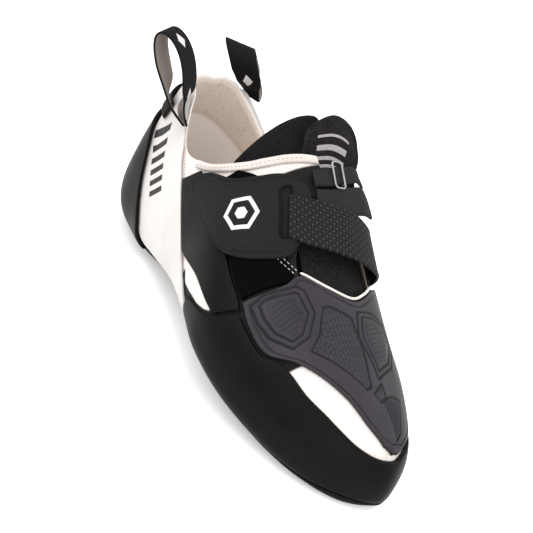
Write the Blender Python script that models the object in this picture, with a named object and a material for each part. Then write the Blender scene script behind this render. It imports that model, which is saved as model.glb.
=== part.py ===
"""Climbing shoe for the right foot: the solids of every piece, in metres, standing on z = 0.

X runs from heel to toe, -Y is the outer (lateral) side, +Y the inner (medial) side. One function, the last,
gives every curved surface: a table of cross sections is joined into a closed body, and a piece is cut from
it between two depths. Depth 0 is the face of the rubber rand, and a negative depth lies outside it.
"""

import math

import bmesh
import bpy
import numpy as np
from mathutils import Matrix

# Driving sizes, in metres.
LENGTH = 0.250
BALL_WIDTH = 0.102
LAST_HEIGHT = 0.130
ARCH_LIFT = 0.0095

UPPER_WALL = 0.0020
RAND_THICKNESS = 0.0015
SOLE_THICKNESS = 0.0043
INSOLE_THICKNESS = 0.0025
PAD_THICKNESS = 0.0015
WEBBING_THICKNESS = 0.0014
TONGUE_THICKNESS = 0.0032
SLEEVE_THICKNESS = 0.0016
HEEL_RUBBER_THICKNESS = 0.0014
LOOP_WIDTH = 0.017
LOOP_THICKNESS = 0.0012
LOOP_REACH = 0.044
LOOP_OPENING = 0.016
LOOP_RISE = 0.004
PIPING_DIAMETER = 0.0014
WIRE_DIAMETER = 0.0011
RING_HALF_LENGTH = 0.0070
RING_HALF_WIDTH = 0.0030
RING_CORNER = 0.0018
GLUE_GAP = 0.0003
LAYER_GAP = 0.0005

# Depths worked out from the thicknesses. Layers are stacked a layer gap apart, because flat facets reach a
# little deeper than the curve that they follow.
RAND_OUTER = 0.0002
RAND_INNER = RAND_OUTER + RAND_THICKNESS
UPPER_OUTER = RAND_INNER + LAYER_GAP
UPPER_INNER = UPPER_OUTER + UPPER_WALL
SOLE_INNER = max(SOLE_THICKNESS, UPPER_INNER + GLUE_GAP)
INSOLE_OUTER = SOLE_INNER + 2 * LAYER_GAP
INSOLE_INNER = INSOLE_OUTER + INSOLE_THICKNESS
TONGUE_OUTER = UPPER_INNER + 3 * LAYER_GAP
TONGUE_INNER = TONGUE_OUTER + TONGUE_THICKNESS
SLEEVE_OUTER = TONGUE_INNER + 2 * LAYER_GAP
PAD_INNER = RAND_OUTER - LAYER_GAP
PAD_OUTER = PAD_INNER - PAD_THICKNESS
WEBBING_INNER = PAD_OUTER - LAYER_GAP
WEBBING_OUTER = WEBBING_INNER - WEBBING_THICKNESS
HEEL_RUBBER_INNER = PAD_INNER - GLUE_GAP
HEEL_RUBBER_OUTER = HEEL_RUBBER_INNER - HEEL_RUBBER_THICKNESS

# The last's cross sections, heel to toe: x in LENGTH; ridge, lateral and medial in BALL_WIDTH; bottom in
# ARCH_LIFT; widest height and top in LAST_HEIGHT; then the roundness of the upper and lower quarters.
SECTIONS = np.array([
    # x      ridge  lateral medial bottom widest top    upper lower
    (0.000, 0.000, 0.000, 0.000, 0.00, 0.250, 0.000, 2.0, 2.6),
    (0.012, 0.000, -0.120, 0.120, 1.09, 0.246, 0.515, 2.0, 2.5),
    (0.044, 0.000, -0.218, 0.218, 0.25, 0.243, 0.800, 2.0, 2.1),
    (0.096, 0.000, -0.300, 0.295, -0.12, 0.238, 0.926, 2.1, 2.1),
    (0.176, 0.010, -0.342, 0.322, -0.11, 0.235, 0.990, 2.1, 2.2),
    (0.280, 0.040, -0.378, 0.335, 0.63, 0.265, 0.995, 2.0, 3.2),
    (0.392, 0.072, -0.424, 0.370, 0.95, 0.297, 0.890, 1.9, 3.2),
    (0.512, 0.078, -0.494, 0.422, 0.98, 0.300, 0.750, 1.9, 3.4),
    (0.620, 0.068, -0.545, 0.446, 0.89, 0.238, 0.605, 1.9, 3.6),
    (0.728, 0.062, -0.515, 0.435, 0.40, 0.178, 0.495, 1.9, 3.3),
    (0.832, 0.070, -0.415, 0.392, -0.07, 0.143, 0.411, 1.9, 3.1),
    (0.920, 0.079, -0.280, 0.318, -0.10, 0.118, 0.308, 1.9, 3.3),
    (0.976, 0.083, -0.095, 0.200, 0.08, 0.098, 0.207, 2.0, 3.6),
    (1.000, 0.083, 0.083, 0.083, 0.00, 0.072, 0.000, 2.0, 2.6),
])

# Turn kept free between a form round the plan and the outsole's rim, and how far the insole's rim stays
# below that rim.
SEAM_TURN = 0.010
INSOLE_RIM_TURN = 0.060

# Girth at which each form round the plan ends, and the low and high turn of the tape on the heel.
RAND_REACH = (-1.485, -0.515)
HEEL_RAND_REACH = (-0.508, 0.508)
HEEL_RUBBER_REACH = (-0.200, 0.200)
HEEL_TAPE_REACH = (-0.104, 0.050)
HEEL_TAPE_TURNS = (0.560, 0.645)

# Around the plan the girth runs from 0 at the back of the heel to -1 at the toe along the lateral side and
# to +1 along the medial side. Between the two fans it is proportional to x.
HEEL_FAN_X = 0.136 * LENGTH
TOE_FAN_X = 0.848 * LENGTH
HEEL_FAN_SHARE = 0.12
TOE_FAN_SHARE = 0.84

# Edges: girth, then turn. Turn -1 is the middle of the bottom, 0 the widest line and 1 the ridge on top.
UPPER_EDGE_LATERAL = [
    (0.000, 0.750), (0.085, 0.770), (0.118, 0.755), (0.140, 0.705), (0.165, 0.640), (0.190, 0.575),
    (0.215, 0.525), (0.250, 0.500), (0.296, 0.500), (0.342, 0.535), (0.372, 0.600), (0.404, 0.740),
    (0.426, 0.880), (0.446, 0.935), (0.480, 0.915), (0.530, 0.800), (0.590, 0.650), (0.630, 0.620),
    (0.655, 0.680), (0.680, 0.850), (0.690, 1.000),
]
UPPER_EDGE_MEDIAL = [
    (0.000, 0.750), (0.022, 0.766), (0.042, 0.766), (0.062, 0.750), (0.082, 0.726), (0.102, 0.695),
    (0.126, 0.655), (0.156, 0.610), (0.190, 0.565), (0.235, 0.535), (0.300, 0.540), (0.360, 0.580),
    (0.430, 0.620), (0.500, 0.620), (0.560, 0.590), (0.610, 0.600), (0.650, 0.700), (0.680, 0.860),
    (0.690, 1.000),
]
# The rand runs from the lateral arch round the toe to the medial arch: girth on from -1 is girth past -1.
RAND_EDGE = [
    (-1.522, -0.140), (-1.492, -0.095), (-1.451, -0.035), (-1.411, 0.025), (-1.374, 0.080), (-1.335, 0.220),
    (-1.290, 0.225), (-1.220, 0.240), (-1.140, 0.240), (-1.080, 0.220), (-1.040, 0.190), (-1.015, 0.160),
    (-0.984, 0.172), (-0.946, 0.222), (-0.904, 0.290), (-0.866, 0.320), (-0.826, 0.312), (-0.790, 0.305),
    (-0.772, 0.285), (-0.744, 0.228), (-0.710, 0.220), (-0.665, 0.220), (-0.626, 0.100), (-0.589, 0.025),
    (-0.549, -0.035), (-0.508, -0.095), (-0.478, -0.140),
]
HEEL_RAND_EDGE = [
    (-0.520, -0.160), (-0.475, -0.115), (-0.405, -0.010), (-0.338, 0.140), (-0.265, 0.350), (-0.232, 0.440),
    (-0.200, 0.545), (-0.170, 0.615), (-0.150, 0.660), (-0.120, 0.715), (0.000, 0.718), (0.060, 0.730),
    (0.090, 0.692), (0.120, 0.642), (0.150, 0.595), (0.175, 0.562), (0.210, 0.520), (0.265, 0.350),
    (0.338, 0.130), (0.405, -0.050), (0.460, -0.130), (0.520, -0.200),
]
HEEL_RUBBER_EDGE = [
    (-0.220, -0.360), (-0.190, -0.120), (-0.165, 0.010), (-0.142, 0.130), (-0.120, 0.270), (-0.106, 0.390),
    (-0.090, 0.460), (-0.060, 0.500), (0.000, 0.510), (0.060, 0.500), (0.090, 0.460), (0.106, 0.390),
    (0.120, 0.270), (0.142, 0.130), (0.165, 0.010), (0.190, -0.120), (0.220, -0.360),
]
# Height of the outsole's edge over the floor: x in LENGTH, height in SOLE_THICKNESS.
SOLE_EDGE_HEIGHT = [
    (0.00, 1.10), (0.10, 1.05), (0.20, 1.25), (0.30, 2.40), (0.40, 3.60), (0.50, 3.90), (0.60, 3.40),
    (0.70, 2.10), (0.80, 1.25), (0.90, 1.10), (1.00, 1.15),
]

# Turns at which every form round the plan has a row, so that the facets of its layers lie parallel.
TURN_LEVELS = [-1.0, -0.84, -0.66, -0.48, -0.33, -0.18, -0.03, 0.12, 0.27, 0.44, 0.62, 0.80, 1.0]

# Patches on the sides and over the instep use x in LENGTH and a turn that goes on past the ridge: 0 is the
# lateral widest line, 1 the ridge and 2 the medial widest line. A row crosses the patch, rear to front.
SLING_ROWS = [
    # lower edge       upper edge
    ((0.284, 0.350), (0.322, 0.450)),
    ((0.316, 0.250), (0.370, 0.395)),
    ((0.352, 0.145), (0.430, 0.335)),
    ((0.392, 0.052), (0.490, 0.290)),
    ((0.432, 0.000), (0.540, 0.262)),
    ((0.518, 0.035), (0.584, 0.252)),
    ((0.590, 0.075), (0.632, 0.250)),
    ((0.630, 0.098), (0.661, 0.232)),
]
LOOP_PATCH_ROWS = [
    ((0.380, 0.405), (0.400, 0.560)),
    ((0.430, 0.348), (0.450, 0.620)),
    ((0.490, 0.303), (0.520, 0.640)),
    ((0.540, 0.275), (0.570, 0.610)),
    ((0.584, 0.265), (0.610, 0.585)),
    ((0.632, 0.263), (0.644, 0.585)),
    ((0.645, 0.262), (0.652, 0.550)),
]
WING_PAD_ROWS = [
    # toe-ward edge of the pad first; each row runs from its lower end to its end on the instep
    ((0.532, 0.220), (0.576, 0.330), (0.598, 0.430), (0.612, 0.550), (0.610, 0.650)),
    ((0.468, 0.230), (0.520, 0.370), (0.547, 0.470), (0.565, 0.600), (0.572, 0.740)),
    ((0.382, 0.270), (0.455, 0.390), (0.500, 0.510), (0.525, 0.660), (0.535, 0.800)),
    ((0.338, 0.330), (0.415, 0.430), (0.467, 0.550), (0.493, 0.680), (0.508, 0.810)),
    ((0.333, 0.450), (0.408, 0.500), (0.443, 0.590), (0.462, 0.690), (0.480, 0.780)),
]
WEBBING_ROWS = [
    # upper edge, middle and lower edge, each with how far it is lifted off its layer, in WEBBING_THICKNESS
    ((0.516, 0.690, 0.0), (0.550, 0.655, 0.0), (0.586, 0.620, 0.0)),
    ((0.536, 0.830, 0.0), (0.572, 0.770, 0.0), (0.604, 0.710, 0.0)),
    ((0.548, 0.960, 0.0), (0.586, 0.900, 0.0), (0.620, 0.840, 0.0)),
    ((0.554, 1.090, 0.0), (0.596, 1.060, 0.0), (0.634, 1.030, 0.0)),
    ((0.552, 1.240, 0.0), (0.595, 1.240, 0.0), (0.636, 1.240, 0.0)),
    ((0.522, 1.450, -0.5), (0.564, 1.460, -0.5), (0.607, 1.470, -0.5)),
    ((0.480, 1.660, -1.2), (0.524, 1.680, -1.2), (0.568, 1.700, -1.2)),
    ((0.458, 1.820, -1.3), (0.500, 1.840, -1.3), (0.543, 1.860, -1.3)),
]
INSTEP_BAND_ROWS = [
    # rear edge and front edge, each with how far it stands off its layer, in PAD_THICKNESS
    ((0.512, 0.850, 0.0), (0.556, 0.830, 0.0)),
    ((0.513, 0.960, 0.0), (0.560, 0.960, 0.0)),
    ((0.502, 1.070, 0.0), (0.550, 1.080, 0.0)),
    ((0.490, 1.170, 2.2), (0.544, 1.180, 2.2)),
    ((0.480, 1.260, 3.3), (0.536, 1.270, 3.3)),
]
UPPER_BAND_ROWS = [
    ((0.477, 0.860, 0.0), (0.505, 0.850, 0.0)),
    ((0.474, 0.960, 0.0), (0.505, 0.960, 0.0)),
    ((0.464, 1.060, 0.0), (0.494, 1.065, 0.0)),
    ((0.452, 1.150, 2.2), (0.483, 1.155, 2.2)),
    ((0.442, 1.240, 3.3), (0.473, 1.245, 3.3)),
]
BINDING_ROWS = [
    # the lateral collar's binding: lower edge, then upper edge
    ((0.296, 0.452), (0.292, 0.492)),
    ((0.338, 0.470), (0.334, 0.506)),
    ((0.378, 0.520), (0.370, 0.556)),
    ((0.410, 0.590), (0.398, 0.620)),
    ((0.429, 0.670), (0.415, 0.690)),
    ((0.442, 0.760), (0.427, 0.770)),
    ((0.452, 0.850), (0.438, 0.855)),
    ((0.459, 0.920), (0.446, 0.920)),
]
TOE_CAP_REAR = [
    (0.652, 0.262), (0.657, 0.400), (0.656, 0.520), (0.648, 0.630), (0.680, 0.790), (0.702, 0.980),
    (0.688, 1.120), (0.656, 1.270), (0.634, 1.440), (0.632, 1.740),
]
TOE_CAP_ROWS = [
    # lateral end, ridge, medial end
    ((0.700, 0.242), (0.745, 1.000), (0.690, 1.745)),
    ((0.756, 0.256), (0.790, 1.000), (0.750, 1.740)),
    ((0.794, 0.378), (0.838, 1.000), (0.815, 1.720)),
    ((0.829, 0.472), (0.880, 1.000), (0.870, 1.665)),
    ((0.878, 0.596), (0.920, 1.000), (0.915, 1.560)),
    ((0.922, 0.704), (0.946, 1.020), (0.940, 1.420)),
    ((0.952, 0.880), (0.962, 1.080), (0.958, 1.270)),
]
TONGUE_ROWS = [
    # lateral edge, middle and medial edge, each with how far it stands off its place, in TONGUE_THICKNESS
    ((0.396, 0.935, 3.0), (0.386, 1.030, 4.2), (0.393, 1.150, 5.4)),
    ((0.404, 0.895, 2.4), (0.398, 1.030, 3.8), (0.405, 1.200, 5.1)),
    ((0.416, 0.880, 1.6), (0.414, 1.030, 3.0), (0.421, 1.230, 4.6)),
    ((0.436, 0.850, 0.0), (0.436, 1.040, 0.8), (0.440, 1.240, 3.3)),
    ((0.475, 0.780, 0.0), (0.475, 1.030, 0.1), (0.475, 1.260, 2.0)),
    ((0.540, 0.700, 0.0), (0.536, 1.020, 0.0), (0.540, 1.340, 0.0)),
    ((0.640, 0.660, 0.0), (0.636, 1.010, 0.0), (0.640, 1.360, 0.0)),
    ((0.712, 0.630, 0.0), (0.708, 1.000, 0.0), (0.712, 1.370, 0.0)),
]
SLEEVE_ROWS = [
    # x, lateral turn, medial turn, rise towards the collar in SLEEVE_THICKNESS
    (0.350, 0.440, 1.560, 1.7),
    (0.378, 0.420, 1.580, 0.8),
    (0.410, 0.400, 1.600, 0.0),
    (0.480, 0.380, 1.620, 0.0),
    (0.640, 0.400, 1.600, 0.0),
]
# A pull loop's axis leans as (x, y, z) shares of LOOP_REACH, from the place where its tape is stitched on.
# The tape faces a heading in degrees from +X once it has left the heel.
LATERAL_LOOP_LEAN = (-0.62, -0.22, 0.80)
LATERAL_LOOP_HEADING = 38.0
MEDIAL_LOOP_LEAN = (-0.24, -0.34, 0.54)
MEDIAL_LOOP_HEADING = -27.0
# The girth and the turn at which each loop is stitched on.
LATERAL_LOOP_PLACE = (-0.168, 0.600)
MEDIAL_LOOP_PLACE = (0.074, 0.692)


def clear_scene():
    """Remove every object that the file opened with."""
    for item in list(bpy.data.objects):
        bpy.data.objects.remove(item, do_unlink=True)


def material(name, colour, roughness, metallic=0.0):
    """Make a Principled material; colour is linear RGB."""
    made = bpy.data.materials.new(name)
    made.use_nodes = True
    shader = made.node_tree.nodes["Principled BSDF"]
    shader.inputs["Base Color"].default_value = (*colour, 1.0)
    shader.inputs["Roughness"].default_value = roughness
    shader.inputs["Metallic"].default_value = metallic
    made.diffuse_color = (*colour, 1.0)
    return made


def spline(values, at, before, after):
    """Catmull-Rom through evenly spaced values; before and after are the ghost values past the ends."""
    padded = np.concatenate([[before], values, [after]])
    index = np.minimum(at.astype(int), len(values) - 2)
    share = at - index
    a, b, c, d = (padded[index + k] for k in range(4))
    return 0.5 * (2 * b + (c - a) * share + (2 * a - 5 * b + 4 * c - d) * share**2
                  + (3 * b - a - 3 * c + d) * share**3)


def curve(table, at):
    """Smooth value from a table of (position, value) rows, without overshoot between them."""
    x, y = np.array(table, dtype=float).T
    slope = np.diff(y) / np.diff(x)
    tangent = np.concatenate([[slope[0]], (slope[1:] + slope[:-1]) / 2, [slope[-1]]])
    turning = np.concatenate([[False], slope[1:] * slope[:-1] <= 0, [False]])
    tangent[turning] = 0.0
    limit = 3 * np.minimum(np.abs(np.append(slope, slope[-1])), np.abs(np.insert(slope, 0, slope[0])))
    tangent = np.clip(tangent, -limit, limit)
    at = np.clip(np.asarray(at, dtype=float), x[0], x[-1])
    index = np.clip(np.searchsorted(x, at, side="right") - 1, 0, len(x) - 2)
    step = x[index + 1] - x[index]
    t = (at - x[index]) / step
    return ((1 + 2 * t) * (1 - t)**2 * y[index] + t * (1 - t)**2 * step * tangent[index]
            + t**2 * (3 - 2 * t) * y[index + 1] + t**2 * (t - 1) * step * tangent[index + 1])


def dense_sections():
    """Join the section table into closely spaced sections, rounded off at heel and toe."""
    at = np.linspace(0, len(SECTIONS) - 1, 2601)
    x, ridge, lateral, medial, bottom, widest, top, upper, lower = SECTIONS.T

    def even(column):
        return spline(column, at, column[1], column[-2])

    def odd(column):
        return np.maximum(spline(column, at, -column[1], -column[-2]), 0.0)

    down = widest * LAST_HEIGHT - bottom * ARCH_LIFT
    rise = (top - widest) * LAST_HEIGHT
    down[[0, -1]] = 0.0
    rise[[0, -1]] = 0.0
    return {
        "x": even(x) * LENGTH,
        "ridge": spline(ridge, at, 2 * ridge[0] - ridge[1], 2 * ridge[-1] - ridge[-2]) * BALL_WIDTH,
        "lateral": odd(ridge - lateral) * BALL_WIDTH,
        "medial": odd(medial - ridge) * BALL_WIDTH,
        "widest": even(widest) * LAST_HEIGHT,
        "down": odd(down),
        "up": odd(rise),
        "upper": even(upper),
        "lower": even(lower),
    }


DENSE = dense_sections()


def section(name, x):
    """Read one column of the joined sections at x."""
    return np.interp(x, DENSE["x"], DENSE[name])


def is_beyond(point, depth):
    """True where a point lies outside the last, taken at a depth under the rand's face."""
    x = (point[..., 0] - depth) * LENGTH / (LENGTH - 2 * depth)
    past_the_end = (x <= 0) | (x >= LENGTH)
    x = np.clip(x, 0, LENGTH)
    aside = point[..., 1] - section("ridge", x)
    above = point[..., 2] - section("widest", x)
    width = np.where(aside < 0, section("lateral", x), section("medial", x)) - depth
    height = np.where(above > 0, section("up", x), section("down", x)) - depth
    power = np.where(above > 0, section("upper", x), section("lower", x))
    width = np.maximum(width, 1e-5)
    height = np.maximum(height, 1e-5)
    return past_the_end | ((np.abs(aside) / width)**power + (np.abs(above) / height)**power > 1)


def cast(centre, ray, depth):
    """Follow rays from inside the last until they reach its surface at a depth."""
    near = np.zeros(ray.shape[:-1])
    far = np.full(ray.shape[:-1], LENGTH)
    for _ in range(36):
        middle = (near + far) / 2
        outside = is_beyond(centre + ray * middle[..., None], depth)
        far = np.where(outside, middle, far)
        near = np.where(outside, near, middle)
    return centre + ray * near[..., None]


def around(girth, turn, depth):
    """Point on the last by girth around the plan, turn above the widest line, and depth."""
    girth, turn, depth = np.broadcast_arrays(*(np.asarray(v, dtype=float) for v in (girth, turn, depth)))
    girth = (girth + 1) % 2 - 1
    share = np.abs(girth)
    side = np.where(girth < 0, -1.0, 1.0)
    straight = np.clip((share - HEEL_FAN_SHARE) / (TOE_FAN_SHARE - HEEL_FAN_SHARE), 0, 1)
    x = HEEL_FAN_X + straight * (TOE_FAN_X - HEEL_FAN_X)
    rear = np.clip(share / HEEL_FAN_SHARE, 0, 1) * math.pi / 2
    front = np.clip((share - TOE_FAN_SHARE) / (1 - TOE_FAN_SHARE), 0, 1) * math.pi / 2
    at_heel = share < HEEL_FAN_SHARE
    forward = np.where(at_heel, -np.cos(rear), np.sin(front))
    sideways = side * np.where(at_heel, np.sin(rear), np.cos(front))
    angle = turn * math.pi / 2
    ray = np.stack([forward * np.cos(angle), sideways * np.cos(angle), np.sin(angle)], -1)
    centre = np.stack([x, section("ridge", x), section("widest", x)], -1)
    return cast(centre, ray, depth)


def across(x_share, turn, depth):
    """Point on the last in the section at x, with a turn that goes on over the ridge, and depth."""
    x, turn, depth = np.broadcast_arrays(*(np.asarray(v, dtype=float) for v in (x_share, turn, depth)))
    x = x * LENGTH
    angle = turn * math.pi / 2
    ray = np.stack([0 * x, -np.cos(angle), np.sin(angle)], -1)
    centre = np.stack([x, section("ridge", x), section("widest", x)], -1)
    return cast(centre, ray, depth)


def sole_edge(girth):
    """Turn at which the last stands at the height of the outsole's edge."""
    girth = np.asarray(girth, dtype=float)
    low = np.full(girth.shape, -0.98)
    high = np.full(girth.shape, 0.4)
    for _ in range(18):
        middle = (low + high) / 2
        point = around(girth, middle, 0.0)
        under = point[..., 2] < curve(SOLE_EDGE_HEIGHT, point[..., 0] / LENGTH) * SOLE_THICKNESS
        low = np.where(under, middle, low)
        high = np.where(under, high, middle)
    return (low + high) / 2


def add_object(name, points, faces, look):
    """Make one object from points and faces, weld what meets and turn its faces outwards."""
    mesh = bpy.data.meshes.new(name)
    mesh.from_pydata([tuple(p) for p in points], [], faces)
    made = bmesh.new()
    made.from_mesh(mesh)
    bmesh.ops.remove_doubles(made, verts=made.verts, dist=2e-6)
    bmesh.ops.dissolve_degenerate(made, edges=made.edges, dist=2e-6)
    bmesh.ops.recalc_face_normals(made, faces=made.faces)
    made.to_mesh(mesh)
    made.free()
    mesh.materials.append(look)
    item = bpy.data.objects.new(name, mesh)
    bpy.context.collection.objects.link(item)
    return item


def skin(name, outer, inner, look):
    """Close two grids of the same shape into one solid with rims on all four sides."""
    rows, columns = outer.shape[:2]
    points = np.concatenate([outer.reshape(-1, 3), inner.reshape(-1, 3)])
    index = np.arange(rows * columns).reshape(rows, columns)
    back = index + rows * columns
    faces = []
    for i in range(rows - 1):
        for j in range(columns - 1):
            faces.append((index[i, j], index[i + 1, j], index[i + 1, j + 1], index[i, j + 1]))
            faces.append((back[i, j], back[i, j + 1], back[i + 1, j + 1], back[i + 1, j]))
    for i in range(rows - 1):
        for j in (0, columns - 1):
            faces.append((index[i, j], index[i + 1, j], back[i + 1, j], back[i, j]))
    for j in range(columns - 1):
        for i in (0, rows - 1):
            faces.append((index[i, j], index[i, j + 1], back[i, j + 1], back[i, j]))
    return add_object(name, points, [tuple(int(v) for v in face) for face in faces], look)


def grid_through(rows, along, over):
    """Fill a table of control rows with a finer grid by splines both ways."""
    table = np.array(rows, dtype=float)
    u = np.linspace(0, len(table) - 1, along + 1)
    v = np.linspace(0, table.shape[1] - 1, over + 1)

    def both_ways(sheet):
        first = np.stack([spline(column, u, 2 * column[0] - column[1], 2 * column[-1] - column[-2])
                          for column in sheet.T], 1)
        return np.stack([spline(row, v, 2 * row[0] - row[1], 2 * row[-1] - row[-2]) for row in first])

    return [both_ways(table[..., k]) for k in range(table.shape[2])]


def patch(name, rows, along, over, outer, inner, look, lift=0.0):
    """A piece cut from the sides or instep between two depths; a third column lifts it off its layer."""
    x, turn, *lifts = grid_through(rows, along, over)
    up = lifts[0] * lift if lifts else 0.0
    return skin(name, across(x, turn, outer - up), across(x, turn, inner - up), look)


def levels_between(low, high):
    """The rows of a form round the plan: the shared levels, held between its low and high edges."""
    return np.clip(np.array(TURN_LEVELS)[None, :], low[:, None], high[:, None])


def band(name, girth, low, high, outer, inner, look):
    """A piece that runs around the plan between a low and a high edge."""
    turn = levels_between(low, high)
    turn[:, 0] = low
    turn[:, -1] = high
    used = np.ptp(turn, axis=0) + np.abs(turn[:, 0].min() - turn.min(axis=0)) > 0
    used[0] = used[-1] = True
    turn = turn[:, used]
    place = np.broadcast_to(girth[:, None], turn.shape)
    return skin(name, around(place, turn, outer), around(place, turn, inner), look)


def closed_ring(name, girth, low, high, outer, inner, look, low_is_open, lowest=None):
    """A hollow form round the whole plan; where an edge reaches the ridge its two sides are welded."""
    turn = levels_between(low, high)
    turn[:, 0] = low
    turn[:, -1] = high
    rows = turn.shape[1] - 1
    place = np.broadcast_to(girth[:, None], turn.shape)
    outside = around(place, turn, outer)
    inside = around(place, turn, inner)
    if lowest is not None:
        outside[..., 2] = np.maximum(outside[..., 2], lowest)
    count = len(girth)
    index = np.arange(count * (rows + 1)).reshape(count, rows + 1)
    back = index + index.size
    faces = []
    for i in range(count):
        k = (i + 1) % count
        for j in range(rows):
            faces.append((index[i, j], index[k, j], index[k, j + 1], index[i, j + 1]))
            faces.append((back[i, j], back[i, j + 1], back[k, j + 1], back[k, j]))
        if low_is_open:
            faces.append((index[i, 0], index[k, 0], back[k, 0], back[i, 0]))
        if min(high[i], high[k]) < 0.9999:
            faces.append((index[i, -1], index[k, -1], back[k, -1], back[i, -1]))
    points = np.concatenate([outside.reshape(-1, 3), inside.reshape(-1, 3)])
    return add_object(name, points, [tuple(int(v) for v in face) for face in faces], look)


def girth_ring():
    """Girth of the columns of a closed ring, the same on both sides, finer round heel, toe and throat."""
    half = np.concatenate([
        np.linspace(0.0, HEEL_FAN_SHARE, 6)[:-1], np.linspace(HEEL_FAN_SHARE, 0.36, 7)[:-1],
        np.linspace(0.36, 0.48, 6)[:-1], np.linspace(0.48, 0.62, 6)[:-1], np.linspace(0.62, 0.69, 5)[:-1],
        np.linspace(0.69, TOE_FAN_SHARE, 6)[:-1], np.linspace(TOE_FAN_SHARE, 1.0, 8),
    ])
    return np.concatenate([-half[::-1], half[1:-1]])


def ring_between(first, last):
    """The ring's columns between two girths, first and last included; girth past -1 goes on round the toe."""
    ring = girth_ring()
    columns = np.unique(np.concatenate([ring, ring - 2, ring[ring < 0] + 2]))
    inner = columns[(columns > first + 0.004) & (columns < last - 0.004)]
    return np.concatenate([[first], inner, [last]])


def upper_edge(girth):
    """Turn of the collar and throat edge; in front of the throat it is 1, so the two sides are welded."""
    share = np.abs(girth)
    edge = np.where(girth < 0, curve(UPPER_EDGE_LATERAL, share), curve(UPPER_EDGE_MEDIAL, share))
    return np.where(share >= 0.6899, 1.0, np.minimum(edge, 0.985))


def build_base(looks):
    """The outsole, the hollow upper over it and the insole inside."""
    girth = girth_ring()
    edge = sole_edge(girth)
    bottom = np.full(girth.shape, -1.0)
    flare = -HEEL_RUBBER_THICKNESS * np.clip((0.34 - np.abs(girth)) / 0.10, 0, 1)
    closed_ring("outsole", girth, bottom, edge, flare[:, None], SOLE_INNER, looks["outsole"], False, 0.0)
    closed_ring("upper", girth, edge + SEAM_TURN, upper_edge(girth), UPPER_OUTER, UPPER_INNER,
                looks["upper"], True)
    closed_ring("insole", girth, bottom, edge - INSOLE_RIM_TURN, INSOLE_OUTER, INSOLE_INNER,
                looks["insole"], False)


def build_rands(looks):
    """The rubber and leather round the foot: toe rand, heel rand and the heel rubber over it."""
    girth = ring_between(*RAND_REACH)
    band("rand", girth, sole_edge(girth) + SEAM_TURN, curve(RAND_EDGE, girth), RAND_OUTER, RAND_INNER,
         looks["rand"])
    girth = ring_between(*HEEL_RAND_REACH)
    band("heel_rand", girth, sole_edge(girth) + SEAM_TURN, curve(HEEL_RAND_EDGE, girth), RAND_OUTER,
         RAND_INNER, looks["heel_rand"])
    girth = ring_between(*HEEL_RUBBER_REACH)
    band("heel_rubber", girth, sole_edge(girth) + SEAM_TURN, curve(HEEL_RUBBER_EDGE, girth),
         HEEL_RUBBER_OUTER, HEEL_RUBBER_INNER, looks["heel_rubber"])
    girth = ring_between(*HEEL_TAPE_REACH)
    low, high = (np.full(girth.shape, turn) for turn in HEEL_TAPE_TURNS)
    band("heel_tape", girth, low, high, HEEL_RUBBER_OUTER, HEEL_RUBBER_INNER, looks["heel_tape"])


def mirrored(rows):
    """The same rows on the other side of the ridge."""
    return [tuple((x, 2 - turn) for x, turn in row) for row in rows]


def build_sides(looks):
    """Slings, loop patch, wing pad and the moulded toe cap."""
    patch("sling_lateral", SLING_ROWS, 16, 3, RAND_OUTER, RAND_INNER, looks["sling"])
    patch("sling_medial", mirrored(SLING_ROWS), 16, 3, RAND_OUTER, RAND_INNER, looks["sling"])
    patch("loop_patch", LOOP_PATCH_ROWS, 12, 5, RAND_OUTER, RAND_INNER, looks["loop_patch"])
    patch("wing_pad", WING_PAD_ROWS, 12, 12, PAD_OUTER, PAD_INNER, looks["wing_pad"])
    rows = [TOE_CAP_REAR]
    for lateral, ridge, medial in TOE_CAP_ROWS:
        half = np.linspace(0, 1, 6)[:, None]
        near = np.array(lateral) + (np.array(ridge) - lateral) * half
        far = np.array(ridge) + (np.array(medial) - ridge) * half[1:]
        both = np.concatenate([near, far])
        rows.append(both[[0, 1, 2, 3, 4, 5, 6, 7, 9, 10]])
    patch("toe_cap", rows, 14, 16, RAND_OUTER, RAND_INNER, looks["toe_cap"])


def build_closure(looks):
    """Straps over the instep, the wire ring, the tongue and the sleeve under it."""
    patch("webbing_strap", WEBBING_ROWS, 21, 2, WEBBING_OUTER, WEBBING_INNER, looks["webbing"],
          WEBBING_THICKNESS)
    patch("instep_band", INSTEP_BAND_ROWS, 10, 2, PAD_OUTER, PAD_INNER, looks["instep_band"], PAD_THICKNESS)
    patch("upper_band", UPPER_BAND_ROWS, 10, 2, PAD_OUTER, PAD_INNER, looks["instep_band"], PAD_THICKNESS)
    patch("collar_binding", BINDING_ROWS, 14, 1, RAND_OUTER, RAND_INNER, looks["binding"])
    patch("tongue", TONGUE_ROWS, 16, 8, TONGUE_OUTER, TONGUE_INNER, looks["tongue"], TONGUE_THICKNESS)
    rows = [[(x, low, rise), (x, (low + high) / 2, rise), (x, high, rise)]
            for x, low, high, rise in SLEEVE_ROWS]
    patch("sleeve", rows, 12, 10, SLEEVE_OUTER, SLEEVE_OUTER + SLEEVE_THICKNESS, looks["sleeve"],
          SLEEVE_THICKNESS)


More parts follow.
